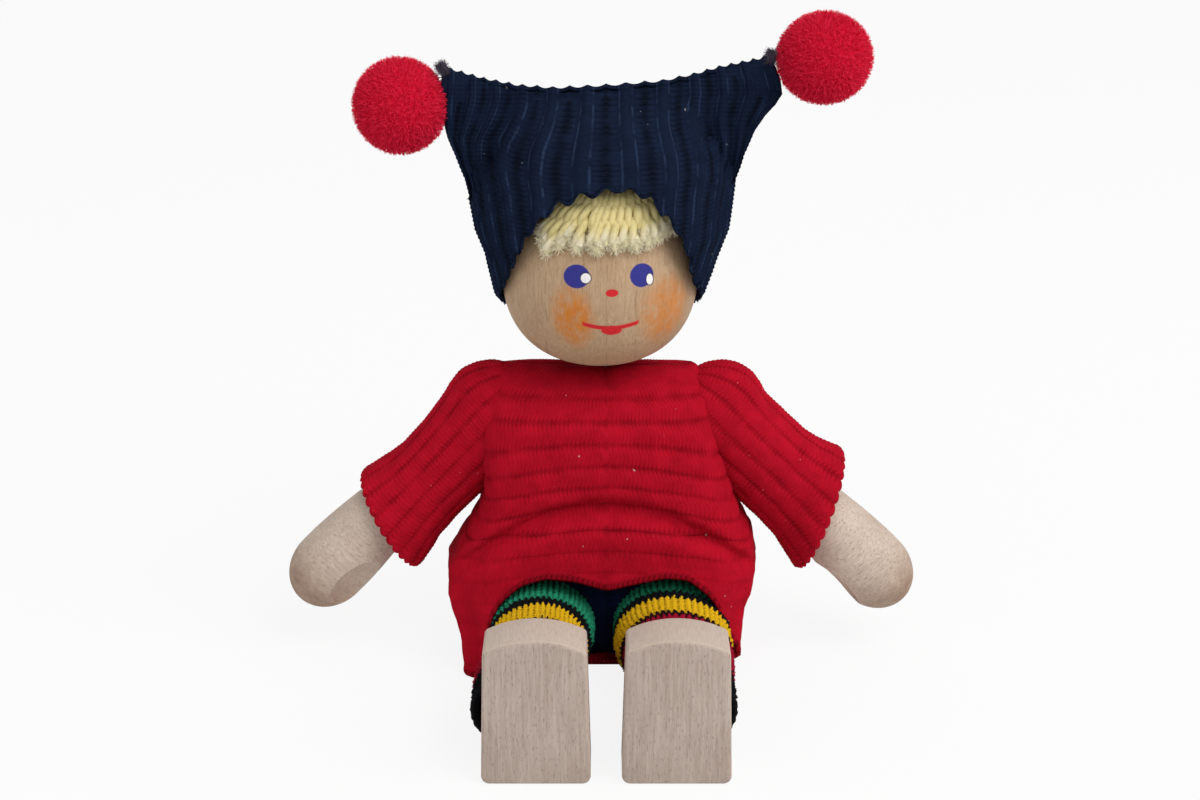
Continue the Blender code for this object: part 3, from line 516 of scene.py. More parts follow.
for side, sign in SIDES:
    elbow = joint_places["elbow_bend_" + side]
    axis = ARM_AXES[side]
    dome_start = HAND_LENGTH * HAND_DOME_SHARE
    shares = np.linspace(0, HAND_DOME_SHARE, 24)
    profile_radius = HAND_RADIUS * np.interp(shares, *np.array(HAND_SHARES).T)
    dome_angles = np.linspace(0, np.pi / 2, 24)[1:-1]
    profile_along = np.concatenate(
        [shares * HAND_LENGTH, dome_start + (HAND_LENGTH - dome_start) * np.sin(dome_angles)]
    )
    profile_radius = np.concatenate([profile_radius, HAND_RADIUS * np.cos(dome_angles)])
    angle = np.linspace(0, 2 * np.pi, HAND_SEGMENTS, endpoint=False)[None, :]
    along = HAND_START + profile_along[:, None] + 0 * angle
    places = round_limb(elbow, axis, along, profile_radius[:, None] + 0 * angle, angle + 0 * along)
    blank = show("hand_blank", capped(grid_mesh("hand_blank", places, True, False)))
    inward = Vector((-sign * math.sin(ARM_DROOP), 0, -math.cos(ARM_DROOP)))
    palm = inward * math.cos(PALM_TURNS[side]) + Vector((0, -1, 0)) * math.sin(PALM_TURNS[side])
    cutter = show("palm_cutter", sphere_mesh("palm_cutter", 0.5, HAND_SEGMENTS))
    across = (-axis).cross(palm)
    turn = Matrix((palm, across, -axis)).transposed().to_4x4()
    middle = elbow + axis * (HAND_START + PALM_SETBACK) + palm * (HAND_RADIUS + PALM_WIDTH / 2 - PALM_DEPTH)
    size = Matrix.Diagonal((PALM_WIDTH, 2 * HAND_RADIUS, PALM_LENGTH, 1))
    cutter.matrix_world = Matrix.Translation(middle) @ turn @ size
    scoop = blank.modifiers.new("Palm", "BOOLEAN")
    scoop.operation = "DIFFERENCE"
    scoop.object = cutter
    hand_mesh = finished(blank, math.radians(28))
    hand_mesh.transform(Matrix.Translation(HAND_SHIFTS[side]))
    bpy.data.objects.remove(cutter)
    hand = show("turned_hand_" + side, hand_mesh, hand_wood.material)
    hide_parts("hand_" + side)
    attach(hand, "forearm_" + side)


# Feet: flat blocks of beech with an arched toe, sawn, then sanded so that every edge is a little
# round. They stand on edge in front of the legs, with their bare soles to the front.
SOLE_LIGHT = (196, 179, 167)
SOLE_DARK = (164, 145, 133)
SOLE_FLECK = (118, 98, 86)
FOOT_TOP_LIT = (209, 194, 180)
FOOT_RIM = (206, 188, 168)
FOOT_TOE_SAGITTA = 0.0022
FOOT_CORNER = 0.0012
FOOT_EDGE = 0.00055
FOOT_EDGE_SEGMENTS = 4
foot_wood = wood_finish("foot_beech", SOLE_LIGHT, SOLE_DARK, SOLE_FLECK, fleck_amount=0.28)
x, y, z = foot_wood.millimetres()
sole_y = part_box("foot_left")[0].y * 1000
# Painted light and shade: the top, sides and back are painted lighter than the sole, as lit from above, and the sole
# facing front is painted darker.
behind = (y - sole_y).step(0.15, 0.35)
fine_grain = foot_wood.noise([x * 7, y * 0.6, z * 7], 2.0)
lit_top = foot_wood.mix(fine_grain.step(0.3, 0.7) * 0.35, seen(*FOOT_TOP_LIT), seen(*SOLE_DARK))
rim = behind * (1 - (y - sole_y).step(0.5, 0.9))
bare = Signal(foot_wood, foot_wood.shader.inputs["Base Color"].links[0].from_socket)
faces = foot_wood.mix(behind * 0.85, bare, lit_top)
foot_wood.paint("Base Color", foot_wood.mix(rim * 0.5, faces, seen(*FOOT_RIM)))

for side, sign in SIDES:
    low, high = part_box("foot_" + side)
    half = (high.x - low.x) / 2
    length, thickness = high.z - low.z, high.y - low.y
    toe_radius = (half**2 + FOOT_TOE_SAGITTA**2) / (2 * FOOT_TOE_SAGITTA)
    toe_angle = math.asin((half - FOOT_EDGE) / toe_radius)
    outline = []
    for share in np.linspace(1, -1, 33):
        angle = toe_angle * share
        outline.append((toe_radius * math.sin(angle), length - toe_radius * (1 - math.cos(angle))))
    for corner_x, start in ((-half + FOOT_CORNER, math.pi), (half - FOOT_CORNER, 1.5 * math.pi)):
        for angle in np.linspace(start, start + math.pi / 2, 9):
            outline.append(
                (corner_x + FOOT_CORNER * math.cos(angle), FOOT_CORNER * (1 + math.sin(angle)))
            )
    shell = bmesh.new()
    middle_x = (low.x + high.x) / 2
    front = [shell.verts.new((middle_x + a, low.y, low.z + b)) for a, b in outline]
    sole = shell.faces.new(front)
    raised = bmesh.ops.extrude_face_region(shell, geom=[sole])
    back = [item for item in raised["geom"] if isinstance(item, bmesh.types.BMVert)]
    bmesh.ops.translate(shell, verts=back, vec=(0, thickness, 0))
    bmesh.ops.recalc_face_normals(shell, faces=shell.faces)
    block_mesh = bpy.data.meshes.new("foot_block")
    shell.to_mesh(block_mesh)
    shell.free()
    block = show("foot_block", block_mesh)
    eased = block.modifiers.new("Eased edges", "BEVEL")
    eased.width = FOOT_EDGE
    eased.segments = FOOT_EDGE_SEGMENTS
    eased.limit_method = "ANGLE"
    eased.angle_limit = math.radians(35)
    foot = show("sanded_foot_" + side, finished(block, math.radians(30)), foot_wood.material)
    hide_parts("foot_" + side)
    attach(foot, "foot_" + side)


# Knitted cloth, first used for the trousers: every garment starts as a smooth wall that carries which
# rib and which stitch each point belongs to, and one tree then raises the ribs, stitches and hems.
def named_input(tree, name, kind, default=None):
    """Add a named input to a geometry tree."""
    socket = tree.interface.new_socket(name, in_out="INPUT", socket_type="NodeSocket" + kind)
    if default is not None:
        socket.default_value = default


def geometry_tree(name, sizes):
    """A geometry tree with a mesh going in and out, a finish and named sizes."""
    tree = bpy.data.node_groups.new(name, "GeometryNodeTree")
    tree.interface.new_socket("Geometry", in_out="OUTPUT", socket_type="NodeSocketGeometry")
    named_input(tree, "Geometry", "Geometry")
    named_input(tree, "Finish", "Material")
    for size_name, default in sizes.items():
        named_input(tree, size_name, "Int" if isinstance(default, int) else "Float", default)
    nodes = Nodes(tree)
    group = tree.nodes.new("NodeGroupInput")
    inputs = {socket.name: Signal(nodes, socket) for socket in group.outputs if socket.name}
    return nodes, inputs


def close_tree(nodes, geometry, finish):
    """End a geometry tree with real meshes and their finish."""
    real = nodes.add("GeometryNodeRealizeInstances", (), {"Geometry": geometry})
    painted = nodes.add("GeometryNodeSetMaterial", (), {"Geometry": real, "Material": finish})
    output = nodes.tree.nodes.new("NodeGroupOutput")
    nodes.tree.links.new(painted.socket, output.inputs[0])
    return nodes.tree


def grown(name, mesh, tree, finish, **sizes):
    """The plain mesh that a geometry tree makes of a mesh."""
    base = show(name + "_base", mesh)
    modifier = base.modifiers.new("Growth", "NODES")
    modifier.node_group = tree
    values = {key.replace("_", " ").capitalize(): value for key, value in sizes.items()}
    values["Finish"] = finish
    for item in tree.interface.items_tree:
        if item.name in values:
            modifier[item.identifier] = values[item.name]
    made = finished(base)
    made.name = name
    made.materials.clear()
    made.materials.append(finish)
    made.shade_smooth()
    return made


knit_sizes = {
    "Rib depth": 0.0005,
    "Rib power": 0.7,
    "Rib split": 0.0,
    "Stitch depth": 0.0001,
    "Stitch slant": 0.9,
    "Hem lift": 0.0,
    "Hem stroke": 0.0,
    "Wobble": 0.0001,
    "Wobble scale": 300.0,
}
knit_nodes, knit_in = geometry_tree("knit", knit_sizes)
carried = {}
for attribute_name in ("rib", "course", "relief", "hem"):
    carried[attribute_name] = knit_nodes.add(
        "GeometryNodeInputNamedAttribute", {"data_type": "FLOAT"}, {"Name": attribute_name}
    )
fold = carried["rib"].math("FRACT")
crest = abs((fold * math.pi).math("SINE")) ** knit_in["Rib power"]
stitch_turn = carried["course"] + abs(fold - 0.5) * knit_in["Stitch slant"]
stitch = (stitch_turn * 2 * math.pi).math("COSINE") * (0.35 + crest * 0.65)
stroke = ((carried["course"] + carried["hem"] * 0.9) * 2 * math.pi).math("COSINE")
cloud = knit_nodes.add("ShaderNodeTexNoise", (), {"Scale": knit_in["Wobble scale"], "Detail": 2.0}) - 0.5
split = (fold * 4 * math.pi).math("COSINE") - 1
lift = (crest - 1) * knit_in["Rib depth"] + stitch * knit_in["Stitch depth"] + split * knit_in["Rib split"]
lift = lift * (1 - carried["hem"]) + carried["hem"] * (knit_in["Hem lift"] + stroke * knit_in["Hem stroke"])
lift = (lift + cloud * knit_in["Wobble"]) * carried["relief"]
facing = knit_nodes.add("GeometryNodeInputNormal")
offset = knit_nodes.add("ShaderNodeVectorMath", {"operation": "SCALE"}, {0: facing, "Scale": lift})
raised = knit_nodes.add("GeometryNodeSetPosition", (), {"Geometry": knit_in["Geometry"], "Offset": offset})
knit_tree = close_tree(knit_nodes, raised, knit_in["Finish"])


def knit_wall(name, outer, rib, course, hem, wall, lining_rows=10, closed_across=True, ribbed=1.0, **more):
    """A knitted wall with a plain lining and round rims, from a grid of its outer places."""
    shape = outer.shape[:2]
    rib, course, hem = (np.broadcast_to(values, shape) for values in (rib, course, hem))
    along = np.gradient(outer, axis=0)
    if closed_across:
        round_it = np.roll(outer, -1, axis=1) - np.roll(outer, 1, axis=1)
    else:
        round_it = np.gradient(outer, axis=1)
    facing = np.cross(round_it, along)
    facing /= np.linalg.norm(facing, axis=-1, keepdims=True) + 1e-12
    middle = outer.mean(axis=(0, 1))
    if (facing * (outer - middle)).sum() < 0:
        facing = -facing
    picked = np.unique(np.linspace(0, shape[0] - 1, lining_rows).astype(int))[::-1]
    inner = (outer - facing * wall)[picked]
    ends = []
    for row, step in ((-1, outer[-1] - outer[-2]), (0, outer[0] - outer[1])):
        step = step / (np.linalg.norm(step, axis=-1, keepdims=True) + 1e-12)
        ends.append((outer[row] - facing[row] * wall / 2 + step * wall * 0.45)[None])
    places = np.concatenate([outer, ends[0], inner, ends[1]])
    carried_rows = {}
    for attribute_name, values in dict(rib=rib, course=course, hem=hem, **more).items():
        values = np.broadcast_to(values, shape)
        carried_rows[attribute_name] = np.concatenate([values, values[-1:], values[picked], values[:1]])
    relief = np.zeros(places.shape[:2])
    relief[: shape[0]] = ribbed
    return grid_mesh(name, places, closed_across, True, relief=relief, **carried_rows)


def knit_colour(cloth, deep, lit, fuzz_and_highlight, furrow_shade=0.24, fleck=(236, 226, 222), fleck_amount=0.5, lines=0.0):
    """Wool colour: a little darker in the furrows as painted shade, ticked by the stitches, with stray pale fibres and
    lint, and where asked painted highlight lines on the rib edges.
    """
    course, relief = cloth.attribute("course"), cloth.attribute("relief")
    from_crest = abs(cloth.attribute("rib").math("FRACT") - 0.5)
    x, y, z = cloth.millimetres()
    patchy = cloth.noise([x * 0.30, y * 0.30, z * 0.55 + 3], 2.0).step(0.32, 0.62)
    # Painted shade: the furrows between the ribs are darkened.
    furrow = from_crest.step(0.27, 0.50) * (0.35 + patchy * 0.65) * relief
    ticked = from_crest.step(0.14, 0.34) * (1 - from_crest.step(0.42, 0.50)) * relief
    tick = ((course + from_crest * 0.9) * 2 * math.pi).math("COSINE") * ticked * (0.3 + patchy * 0.7)
    cloud = cloth.noise([x * 0.35, y * 0.35, z * 0.35], 3.0) - 0.5
    fine = cloth.noise([x * 6.5, y * 6.5, z * 6.5], 3.0, 0.7)
    # The tone runs from the deep colour, the wool in shade, to the lit colour, the wool in light: the furrow term is
    # painted shade, the rest is random tone and stitch ticks.
    tone = 0.60 - furrow * furrow_shade + tick * 0.13 + (fine - 0.5) * 0.55 + cloud * 0.5
    body = cloth.mix(tone.step(0.05, 0.95), seen(*deep), seen(*lit))
    # Painted highlight: where asked, thin pale lines along one edge of each rib, broken in places; the pale rungs below
    # are stitches in the furrows.
    if lines:
        rib_edge_highlight = abs(from_crest - 0.17).below(0.022, 0.02)
        broken = cloth.noise([x * 0.5, y * 0.5, z * 0.25]).step(0.38, 0.60)
        body = cloth.mix(rib_edge_highlight * broken * lines, body, seen(*fuzz_and_highlight))
        ladder = from_crest.step(0.24, 0.30) * (course * 2 * math.pi).math("COSINE").step(0.2, 0.9)
        body = cloth.mix(ladder * (0.02 + patchy * 0.07), body, seen(*fuzz_and_highlight))
    hair = cloth.noise([x * 3.1 + 5, y * 3.1, z * 3.1], 5.0, 0.75).step(0.60, 0.80)
    body = cloth.mix(hair * 0.18, body, seen(*fuzz_and_highlight))
    lint = cloth.noise([x * 1.05 + 9, y * 1.05, z * 1.05 + 4], 1.0).step(0.795, 0.815)
    cloth.bump(fine, 0.00012)
    return cloth.mix(lint * fleck_amount, body, seen(*fleck))


def ease(share):
    """A smooth step from 0 to 1."""
    share = np.clip(share, 0, 1)
    return share * share * (3 - 2 * share)


# Trouser legs: knitted in loopy wool in broad stripes of green, black, yellow and red, with a black
# cuff that bunches behind the foot. Each leg is made in two pieces, the upper leg and the cuff.
LEG_RADIUS = 0.0072
LEG_INNER_WIDTHS = {"left": 0.0086, "right": 0.0081}
LEG_OUTER_WIDTHS = {"left": 0.0093, "right": 0.0081}
LEG_WALL = 0.0009
LEG_WALES = 54
LEG_COLUMNS_PER_WALE = 4
LEG_COURSE = 0.00062
LEG_ROWS_PER_COURSE = 4
LEG_LENGTH = 0.0342
CUFF_START = 0.0262
CUFF_INNER_WIDTH = 0.0068
CUFF_OUTER_WIDTHS = {"left": 0.0090, "right": 0.0097}
LEG_TAPER_STARTS = {"left": 0.38, "right": 0.26}
CUFF_FOLD = 0.0022
STRIPE_SHIFTS = {"left": -0.0012, "right": 0.0011}
STRIPE_ENDS = (0.0106, 0.0131, 0.0177, 0.0190, 0.0268)
STRIPE_GREEN = (44, 160, 120)
STRIPE_BLACK = (16, 18, 22)
STRIPE_YELLOW = (246, 198, 30)
STRIPE_MAROON = (44, 14, 18)
STRIPE_RED = (168, 20, 50)

striped = Finish("striped_wool", 0.92, gloss=0.1)
wale, down_leg = striped.attribute("rib"), striped.attribute("stripe") * 1000
jag = (wale.math("PINGPONG", 0.5) * 2 - 0.5) * 0.6
x, y, z = striped.millimetres()
stray = striped.noise([x * 2.4, y * 2.4, z * 2.4], 3.0) - 0.5
at = down_leg + jag + stray * 1.6
stripe = seen(*STRIPE_GREEN)
for end, colour in zip(STRIPE_ENDS, (STRIPE_BLACK, STRIPE_YELLOW, STRIPE_MAROON, STRIPE_RED, STRIPE_BLACK)):
    stripe = striped.mix(at.step(end * 1000 - 0.08, end * 1000 + 0.08), stripe, seen(*colour))
loop_slant = abs(wale.math("FRACT") - 0.5) * 1.1
loop_turn = ((striped.attribute("course") + loop_slant) * 2 * math.pi).math("COSINE") * 0.5 + 0.5
loop_shade = abs((wale * math.pi).math("SINE"))
loop_tone = loop_shade * 0.34 + loop_turn * 0.40 + striped.noise([x * 5, y * 5, z * 5], 3.0, 0.7) * 0.6
# Painted shade: the gaps between the loops are darkened.
gap_shade = (1 - loop_tone.step(0.30, 0.80)) * 0.72
striped.paint("Base Color", striped.mix(gap_shade, stripe, seen(34, 24, 26), "MULTIPLY"))
striped.bump(striped.noise([x * 7, y * 7, z * 7], 4.0, 0.7), 0.00016)


def leg_places(side, sign, along, radius, angle):
    """Places on a trouser leg, which lies wider than high and bulges out at its cuff."""
    hip = joint_places["hip_swing_" + side]
    places = round_limb(hip, LEG_AXIS, along, radius, angle + 0 * along)
    taper = ease((along / LEG_LENGTH - LEG_TAPER_STARTS[side]) / 0.22)
    bulge = ease((along / LEG_LENGTH - 0.5) / 0.3)
    inner = LEG_INNER_WIDTHS[side] + (CUFF_INNER_WIDTH - LEG_INNER_WIDTHS[side]) * taper
    outer = LEG_OUTER_WIDTHS[side] + (CUFF_OUTER_WIDTHS[side] - LEG_OUTER_WIDTHS[side]) * bulge
    from_axis = (places[..., 0] - hip.x) * sign
    places[..., 0] = hip.x + sign * from_axis * np.where(from_axis > 0, outer, inner) / LEG_RADIUS
    return places


def leg_radius(along):
    """The half height of a trouser leg, which folds a little at its cuff."""
    folded = ease((along - CUFF_START + 0.004) / 0.006)
    return LEG_RADIUS * (1 - 0.035 * folded * (1 + np.cos(2 * np.pi * along / CUFF_FOLD)))


for side, sign in SIDES:
    columns = LEG_WALES * LEG_COLUMNS_PER_WALE
    angle = np.linspace(0, 2 * np.pi, columns, endpoint=False)[None, :]
    wales = angle / (2 * np.pi) * LEG_WALES
    dome_length = LEG_RADIUS * np.pi / 2
    rows = round((dome_length * 0.93 + CUFF_START) / LEG_COURSE * LEG_ROWS_PER_COURSE)
    distance = np.linspace(-dome_length * 0.93, CUFF_START, rows)[:, None] + 0 * angle
    bend = np.clip(-distance / LEG_RADIUS, 0, np.pi / 2)
    along = np.where(distance < 0, -LEG_RADIUS * np.sin(bend), distance)
    radius = np.where(distance < 0, LEG_RADIUS * np.cos(bend), leg_radius(distance))
    outer = leg_places(side, sign, along, radius, angle)
    stripe = distance - STRIPE_SHIFTS[side]
    leg_wall = knit_wall("leg", outer, wales, distance / LEG_COURSE, 0.0, LEG_WALL, stripe=stripe)
    leg_mesh = grown(
        "trouser_leg_upper_" + side, leg_wall, knit_tree, striped.material,
        rib_depth=0.00022, rib_power=0.8, stitch_depth=0.00028, stitch_slant=1.1, wobble=0.0009, wobble_scale=1500.0,
    )
    leg = show("trouser_leg_upper_" + side, leg_mesh)
    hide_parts("trouser_leg_" + side)
    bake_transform(leg)
    rows = round((LEG_LENGTH - CUFF_START) / LEG_COURSE * LEG_ROWS_PER_COURSE * 1.2)
    distance = np.linspace(CUFF_START, LEG_LENGTH, rows)[:, None] + 0 * angle
    outer = leg_places(side, sign, distance, leg_radius(distance), angle)
    cuff_hem = ease((distance - LEG_LENGTH) / 0.0012 + 1)
    stripe = distance - STRIPE_SHIFTS[side]
    cuff_wall = knit_wall("cuff", outer, wales, distance / LEG_COURSE * 1.2, cuff_hem, LEG_WALL, stripe=stripe)
    cuff_mesh = grown(
        "trouser_cuff_" + side, cuff_wall, knit_tree, striped.material,
        rib_depth=0.00026, rib_power=0.8, stitch_depth=0.00022, stitch_slant=1.1, wobble=0.0007, wobble_scale=1300.0,
    )
    cuff = show("trouser_cuff_" + side, cuff_mesh)
    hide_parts("trouser_leg_" + side)
    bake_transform(cuff)


# Trouser seat: fine navy jersey stuffed with wool, which the doll sits on. It is flat underneath and
# shows between the legs under the hem of the dress.
SEAT_WALL = 0.0008
SEAT_FRONT = 0.0080
SEAT_STITCH = 0.0007
NAVY_DEEP = (8, 12, 26)
NAVY_LIT = (22, 34, 66)
NAVY_FUZZ = (62, 84, 124)

navy_jersey = Finish("navy_jersey", 0.94, gloss=0.03)
navy_jersey.paint("Base Color", knit_colour(navy_jersey, NAVY_DEEP, NAVY_LIT, NAVY_FUZZ, fleck_amount=0.2))
seat_low, seat_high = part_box("trouser_seat")
seat_middle = (seat_low + seat_high) / 2
seat_half = (seat_high - seat_low) / 2
angle = np.linspace(0, 2 * np.pi, 240, endpoint=False)[None, :]
lift = np.linspace(-np.pi / 2, np.pi / 2, 90)[:, None]
corner = 0.5
ring = np.cos(lift) ** corner
seat_x = seat_half.x * ring * np.sign(np.sin(angle)) * np.abs(np.sin(angle)) ** corner
seat_y = -seat_half.y * ring * np.sign(np.cos(angle)) * np.abs(np.cos(angle)) ** corner
seat_z = seat_half.z * np.sign(np.sin(lift)) * np.abs(np.sin(lift)) ** corner + 0 * angle
seat_places = np.stack([seat_x + seat_middle.x, seat_y + seat_middle.y, seat_z + seat_middle.z], axis=-1)
seat_places[..., 2] = np.maximum(seat_places[..., 2], seat_low.z + 0.0013)
seat_mesh = grid_mesh(
    "seat", seat_places, True, False, rib=angle / (2 * np.pi) * 60, course=lift * 14, relief=1.0, hem=0.0
)
seat = show(
    "stuffed_seat",
    grown(
        "stuffed_seat", seat_mesh, knit_tree, navy_jersey.material,
        rib_depth=0.0002, stitch_depth=0.0001, wobble=0.0003, wobble_scale=250.0,
    ),
)
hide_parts("trouser_seat")
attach(seat, "torso")


# Dress: cut from red rib-knitted wool with the ribs running round the body, and slipped over the
# torso. The skirt lies over both thighs and spreads on the ground at the sides and the back.
DRESS_TOP = 0.0484
DRESS_RIB = 0.00335
DRESS_STITCH = 0.00066
DRESS_WALL = 0.0010
DRESS_ROWS_PER_RIB = 12
BODICE_RIBS = 7
BACK_POWER = 2.6
NECKLINE_DIP = 0.0003
NECKLINE_DIP_REACH = 0.0070
WAIST_FOLD_HEIGHT = 0.0280
WAIST_FOLD_DROP = 0.0066
WAIST_FOLD_DEPTH = 0.0019
WAIST_FOLD_WIDTH = 0.0015
HEM_BAND = 0.0013
HEM_HEIGHT = 0.0161
GROUND_GAP = 0.0003
TUCK_FRONT = -0.0086
TUCK_HALF_WIDTH = 0.0028
TUCK_TOP = 0.0012
RED_DEEP = (128, 8, 23)
RED_LIT = (201, 20, 44)
RED_FUZZ = (220, 56, 78)
HEM_SHADE_RED = (96, 6, 18)
# Height, half width at the doll's right and left, depth to the front and back, and corner power
DRESS_OUTLINE = (
    (0.0484, 0.0162, 0.0134, 0.0008, 0.0014, 2.2),
    (0.0474, 0.0173, 0.0143, 0.0038, 0.0046, 2.8),
    (0.0460, 0.0182, 0.0151, 0.0062, 0.0067, 3.6),
    (0.0440, 0.0188, 0.0159, 0.0084, 0.0084, 4.2),
    (0.0400, 0.0191, 0.0168, 0.0101, 0.0100, 4.5),
    (0.0340, 0.0192, 0.0184, 0.0110, 0.0108, 4.5),
    (0.0300, 0.0191, 0.0195, 0.0113, 0.0108, 4.5),
    (0.0270, 0.0194, 0.0205, 0.0116, 0.0108, 4.5),
    (0.0240, 0.0208, 0.0217, 0.0121, 0.0108, 4.5),
    (0.0210, 0.0225, 0.0233, 0.0125, 0.0108, 4.2),
    (0.0160, 0.0252, 0.0241, 0.0131, 0.0109, 4.0),
    (0.0125, 0.0253, 0.0233, 0.0136, 0.0110, 4.0),
    (0.0104, 0.0247, 0.0223, 0.0142, 0.0110, 4.0),
    (0.0062, 0.0233, 0.0218, 0.0154, 0.0111, 4.0),
    (0.0000, 0.0225, 0.0213, 0.0174, 0.0114, 4.0),
)
DRESS_TABLE = np.array(DRESS_OUTLINE[::-1]).T
# How far across the doll, and how high, the front hem runs
HEM_LINE = (
    (-0.0213, 0.0003), (-0.0184, 0.0095), (-0.0169, 0.0123), (-0.0157, 0.0140), (-0.0133, 0.0162),
    (-0.0094, 0.0175), (-0.0048, 0.0171), (0.0003, 0.0157), (0.0053, 0.0169), (0.0092, 0.0176),
    (0.0130, 0.0171), (0.0165, 0.0142), (0.0196, 0.0095), (0.0229, 0.0050), (0.0237, 0.0003),
)

red_wool = Finish("red_wool", 0.93, gloss=0.04)
red_body = knit_colour(red_wool, RED_DEEP, RED_LIT, RED_FUZZ)
# Painted shade: the hem band is a darker red where the rolled hem lies in shade, broken by its stitch strokes.
hem_stroke = ((red_wool.attribute("course") + red_wool.attribute("hem") * 0.9) * 2 * math.pi).math("COSINE")
hem_shade = red_wool.attribute("hem") * (0.55 + hem_stroke * 0.25)
red_wool.paint("Base Color", red_wool.mix(hem_shade, red_body, seen(*HEM_SHADE_RED)))


def dress_places(height, angle):
    """Places on the dress at a height and an angle from the front, both grids."""
    right, left, front, back, power = (
        np.interp(height, DRESS_TABLE[0], column) for column in DRESS_TABLE[1:]
    )
    across, ahead = np.sin(angle), np.cos(angle)
    power = np.where(ahead < 0, np.minimum(power, BACK_POWER), power)
    x = np.where(across < 0, right, left) * np.sign(across) * np.abs(across) ** (2 / power)
    fold_height = WAIST_FOLD_HEIGHT - WAIST_FOLD_DROP * (x / 0.018) ** 2
    crease = np.exp(-(((height - fold_height) / WAIST_FOLD_WIDTH) ** 2)) * ease(ahead * 2)
    depth = np.where(ahead > 0, front - crease * WAIST_FOLD_DEPTH, back)
    y = -depth * np.sign(ahead) * np.abs(ahead) ** (2 / power)
    return np.stack([x, y, height + 0 * angle], axis=-1)


def drop(height, angle):
    """How far the ribs sink from the middle of the front to the sides."""
    sideways = np.where(np.cos(angle) > 0, np.abs(np.sin(angle)) ** 0.9, 1.0)
    return 0.0034 * ease((0.0430 - height) / 0.0100) * sideways


def ribs_at(height, angle):
    """Which rib of the dress a height belongs to, counted from the collar."""
    return (DRESS_TOP - height - drop(height, angle)) / DRESS_RIB


def rib_height(rib, angle):
    """The height of a rib of the dress at an angle."""
    height = DRESS_TOP - rib * DRESS_RIB + 0 * angle
    for _ in range(12):
        height = DRESS_TOP - rib * DRESS_RIB - drop(height, angle)
    return height


def girth(angle, height=0.033):
    """The distance round the dress from its front to an angle."""
    fine = np.linspace(-np.pi, np.pi, 2001)
    ring = dress_places(height + 0 * fine, fine)
    steps = np.linalg.norm(np.diff(ring, axis=0), axis=1)
    return np.interp(angle, fine, np.concatenate([[0], np.cumsum(steps)]))


dress_stitches = round(girth(math.pi) / DRESS_STITCH)
bodice_columns = dress_stitches * 4
even = np.linspace(0, girth(math.pi), bodice_columns, endpoint=False)
fine_angles = np.linspace(-np.pi, np.pi, 2001)
angle = np.interp(even, girth(fine_angles), fine_angles)[None, :]
rib = np.linspace(0, BODICE_RIBS, BODICE_RIBS * DRESS_ROWS_PER_RIB + 1)[:, None] + 0 * angle
course = even[None, :] / DRESS_STITCH * (dress_stitches * DRESS_STITCH / girth(math.pi))
height = rib_height(rib, angle)
outer = dress_places(height, angle)
outer[..., 2] -= NECKLINE_DIP * np.exp(-((outer[..., 0] / NECKLINE_DIP_REACH) ** 2)) * ease(1 - rib / 2)
bodice_wall = knit_wall("bodice", outer, rib, course, 0.0, DRESS_WALL)
bodice_mesh = grown(
    "dress_body", bodice_wall, knit_tree, red_wool.material,
    rib_depth=0.00026, rib_power=0.62, stitch_depth=0.00005, wobble=0.0006, wobble_scale=180.0,
)
bodice = show("dress_body", bodice_mesh)
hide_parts("dress_bodice")
float(girth(math.pi))
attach(bodice, "torso")


def hem_height(angle):
    """Height of the skirt's hem: over the thighs in front, down to the ground at the sides and back."""
    x = dress_places(HEM_HEIGHT + 0 * angle, angle)[..., 0]
    lines = [np.interp(x + shift, *np.array(HEM_LINE).T) for shift in (-0.0008, -0.0004, 0, 0.0004, 0.0008)]
    return np.where(np.abs(angle) < np.pi / 2, np.mean(lines, axis=0), GROUND_GAP)


for side, sign in SIDES:
    half_girth = abs(girth(sign * math.pi) - girth(0.0))
    half_even = np.linspace(0, half_girth, bodice_columns // 2 + 1)[None, :]
    angle = np.interp(girth(0.0) + sign * half_even, girth(fine_angles), fine_angles)
    top = rib_height(BODICE_RIBS + 0 * angle, angle)
    low = hem_height(angle)
    share = np.linspace(0, 1, 96)[:, None]
    height = top + (low - top) * share
    fold = 0.0006 * (1 - height / 0.024) * np.cos(11 * angle)
    outer = dress_places(height, angle)
    outer[..., :2] *= 1 + (fold / 0.018)[..., None]
    band = ease(((low - height) / HEM_BAND + 1) * 1.6)
    course = (girth(0.0) + sign * half_even) / girth(math.pi) * dress_stitches
    fading = 1 - 0.70 * ease((0.0250 - height) / 0.0090)
    skirt_wall = knit_wall(
        "skirt", outer, ribs_at(height, angle), course, band, DRESS_WALL, lining_rows=8, closed_across=False,
        ribbed=fading,
    )
    skirt_mesh = grown(
        "dress_skirt_" + side, skirt_wall, knit_tree, red_wool.material,
        rib_depth=0.00026, rib_power=0.62, stitch_depth=0.00005, hem_lift=0.00030, hem_stroke=0.00015,
        wobble=0.0006, wobble_scale=180.0,
    )
    skirt = show("dress_skirt_" + side, skirt_mesh)
    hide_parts("dress_skirt")
    float(girth(math.pi, 0.012)) / 2
    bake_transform(skirt)

tuck_y = np.linspace(0.0105, TUCK_FRONT, 60)[:, None]
tuck_half = np.interp(-tuck_y, (-0.0105, 0.0, 0.0030, -TUCK_FRONT), (0.0110, 0.0100, 0.0036, TUCK_HALF_WIDTH))
tuck_x = np.linspace(-1, 1, 60)[None, :] * tuck_half
outer = np.stack([tuck_x, tuck_y + 0 * tuck_x, TUCK_TOP + 0 * tuck_x], axis=-1)
tuck_hem = ease((TUCK_FRONT - tuck_y) / HEM_BAND + 1)
tuck_wall = knit_wall(
    "tuck", outer, tuck_y / DRESS_RIB, tuck_x / DRESS_STITCH, tuck_hem, DRESS_WALL * 0.9, closed_across=False
)
tuck_mesh = grown(
    "dress_skirt_tuck", capped(tuck_wall), knit_tree, red_wool.material, rib_depth=0.0001, stitch_depth=0.00003,
)
tuck = show("dress_skirt_tuck", tuck_mesh)
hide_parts("dress_skirt")
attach(tuck, "torso")


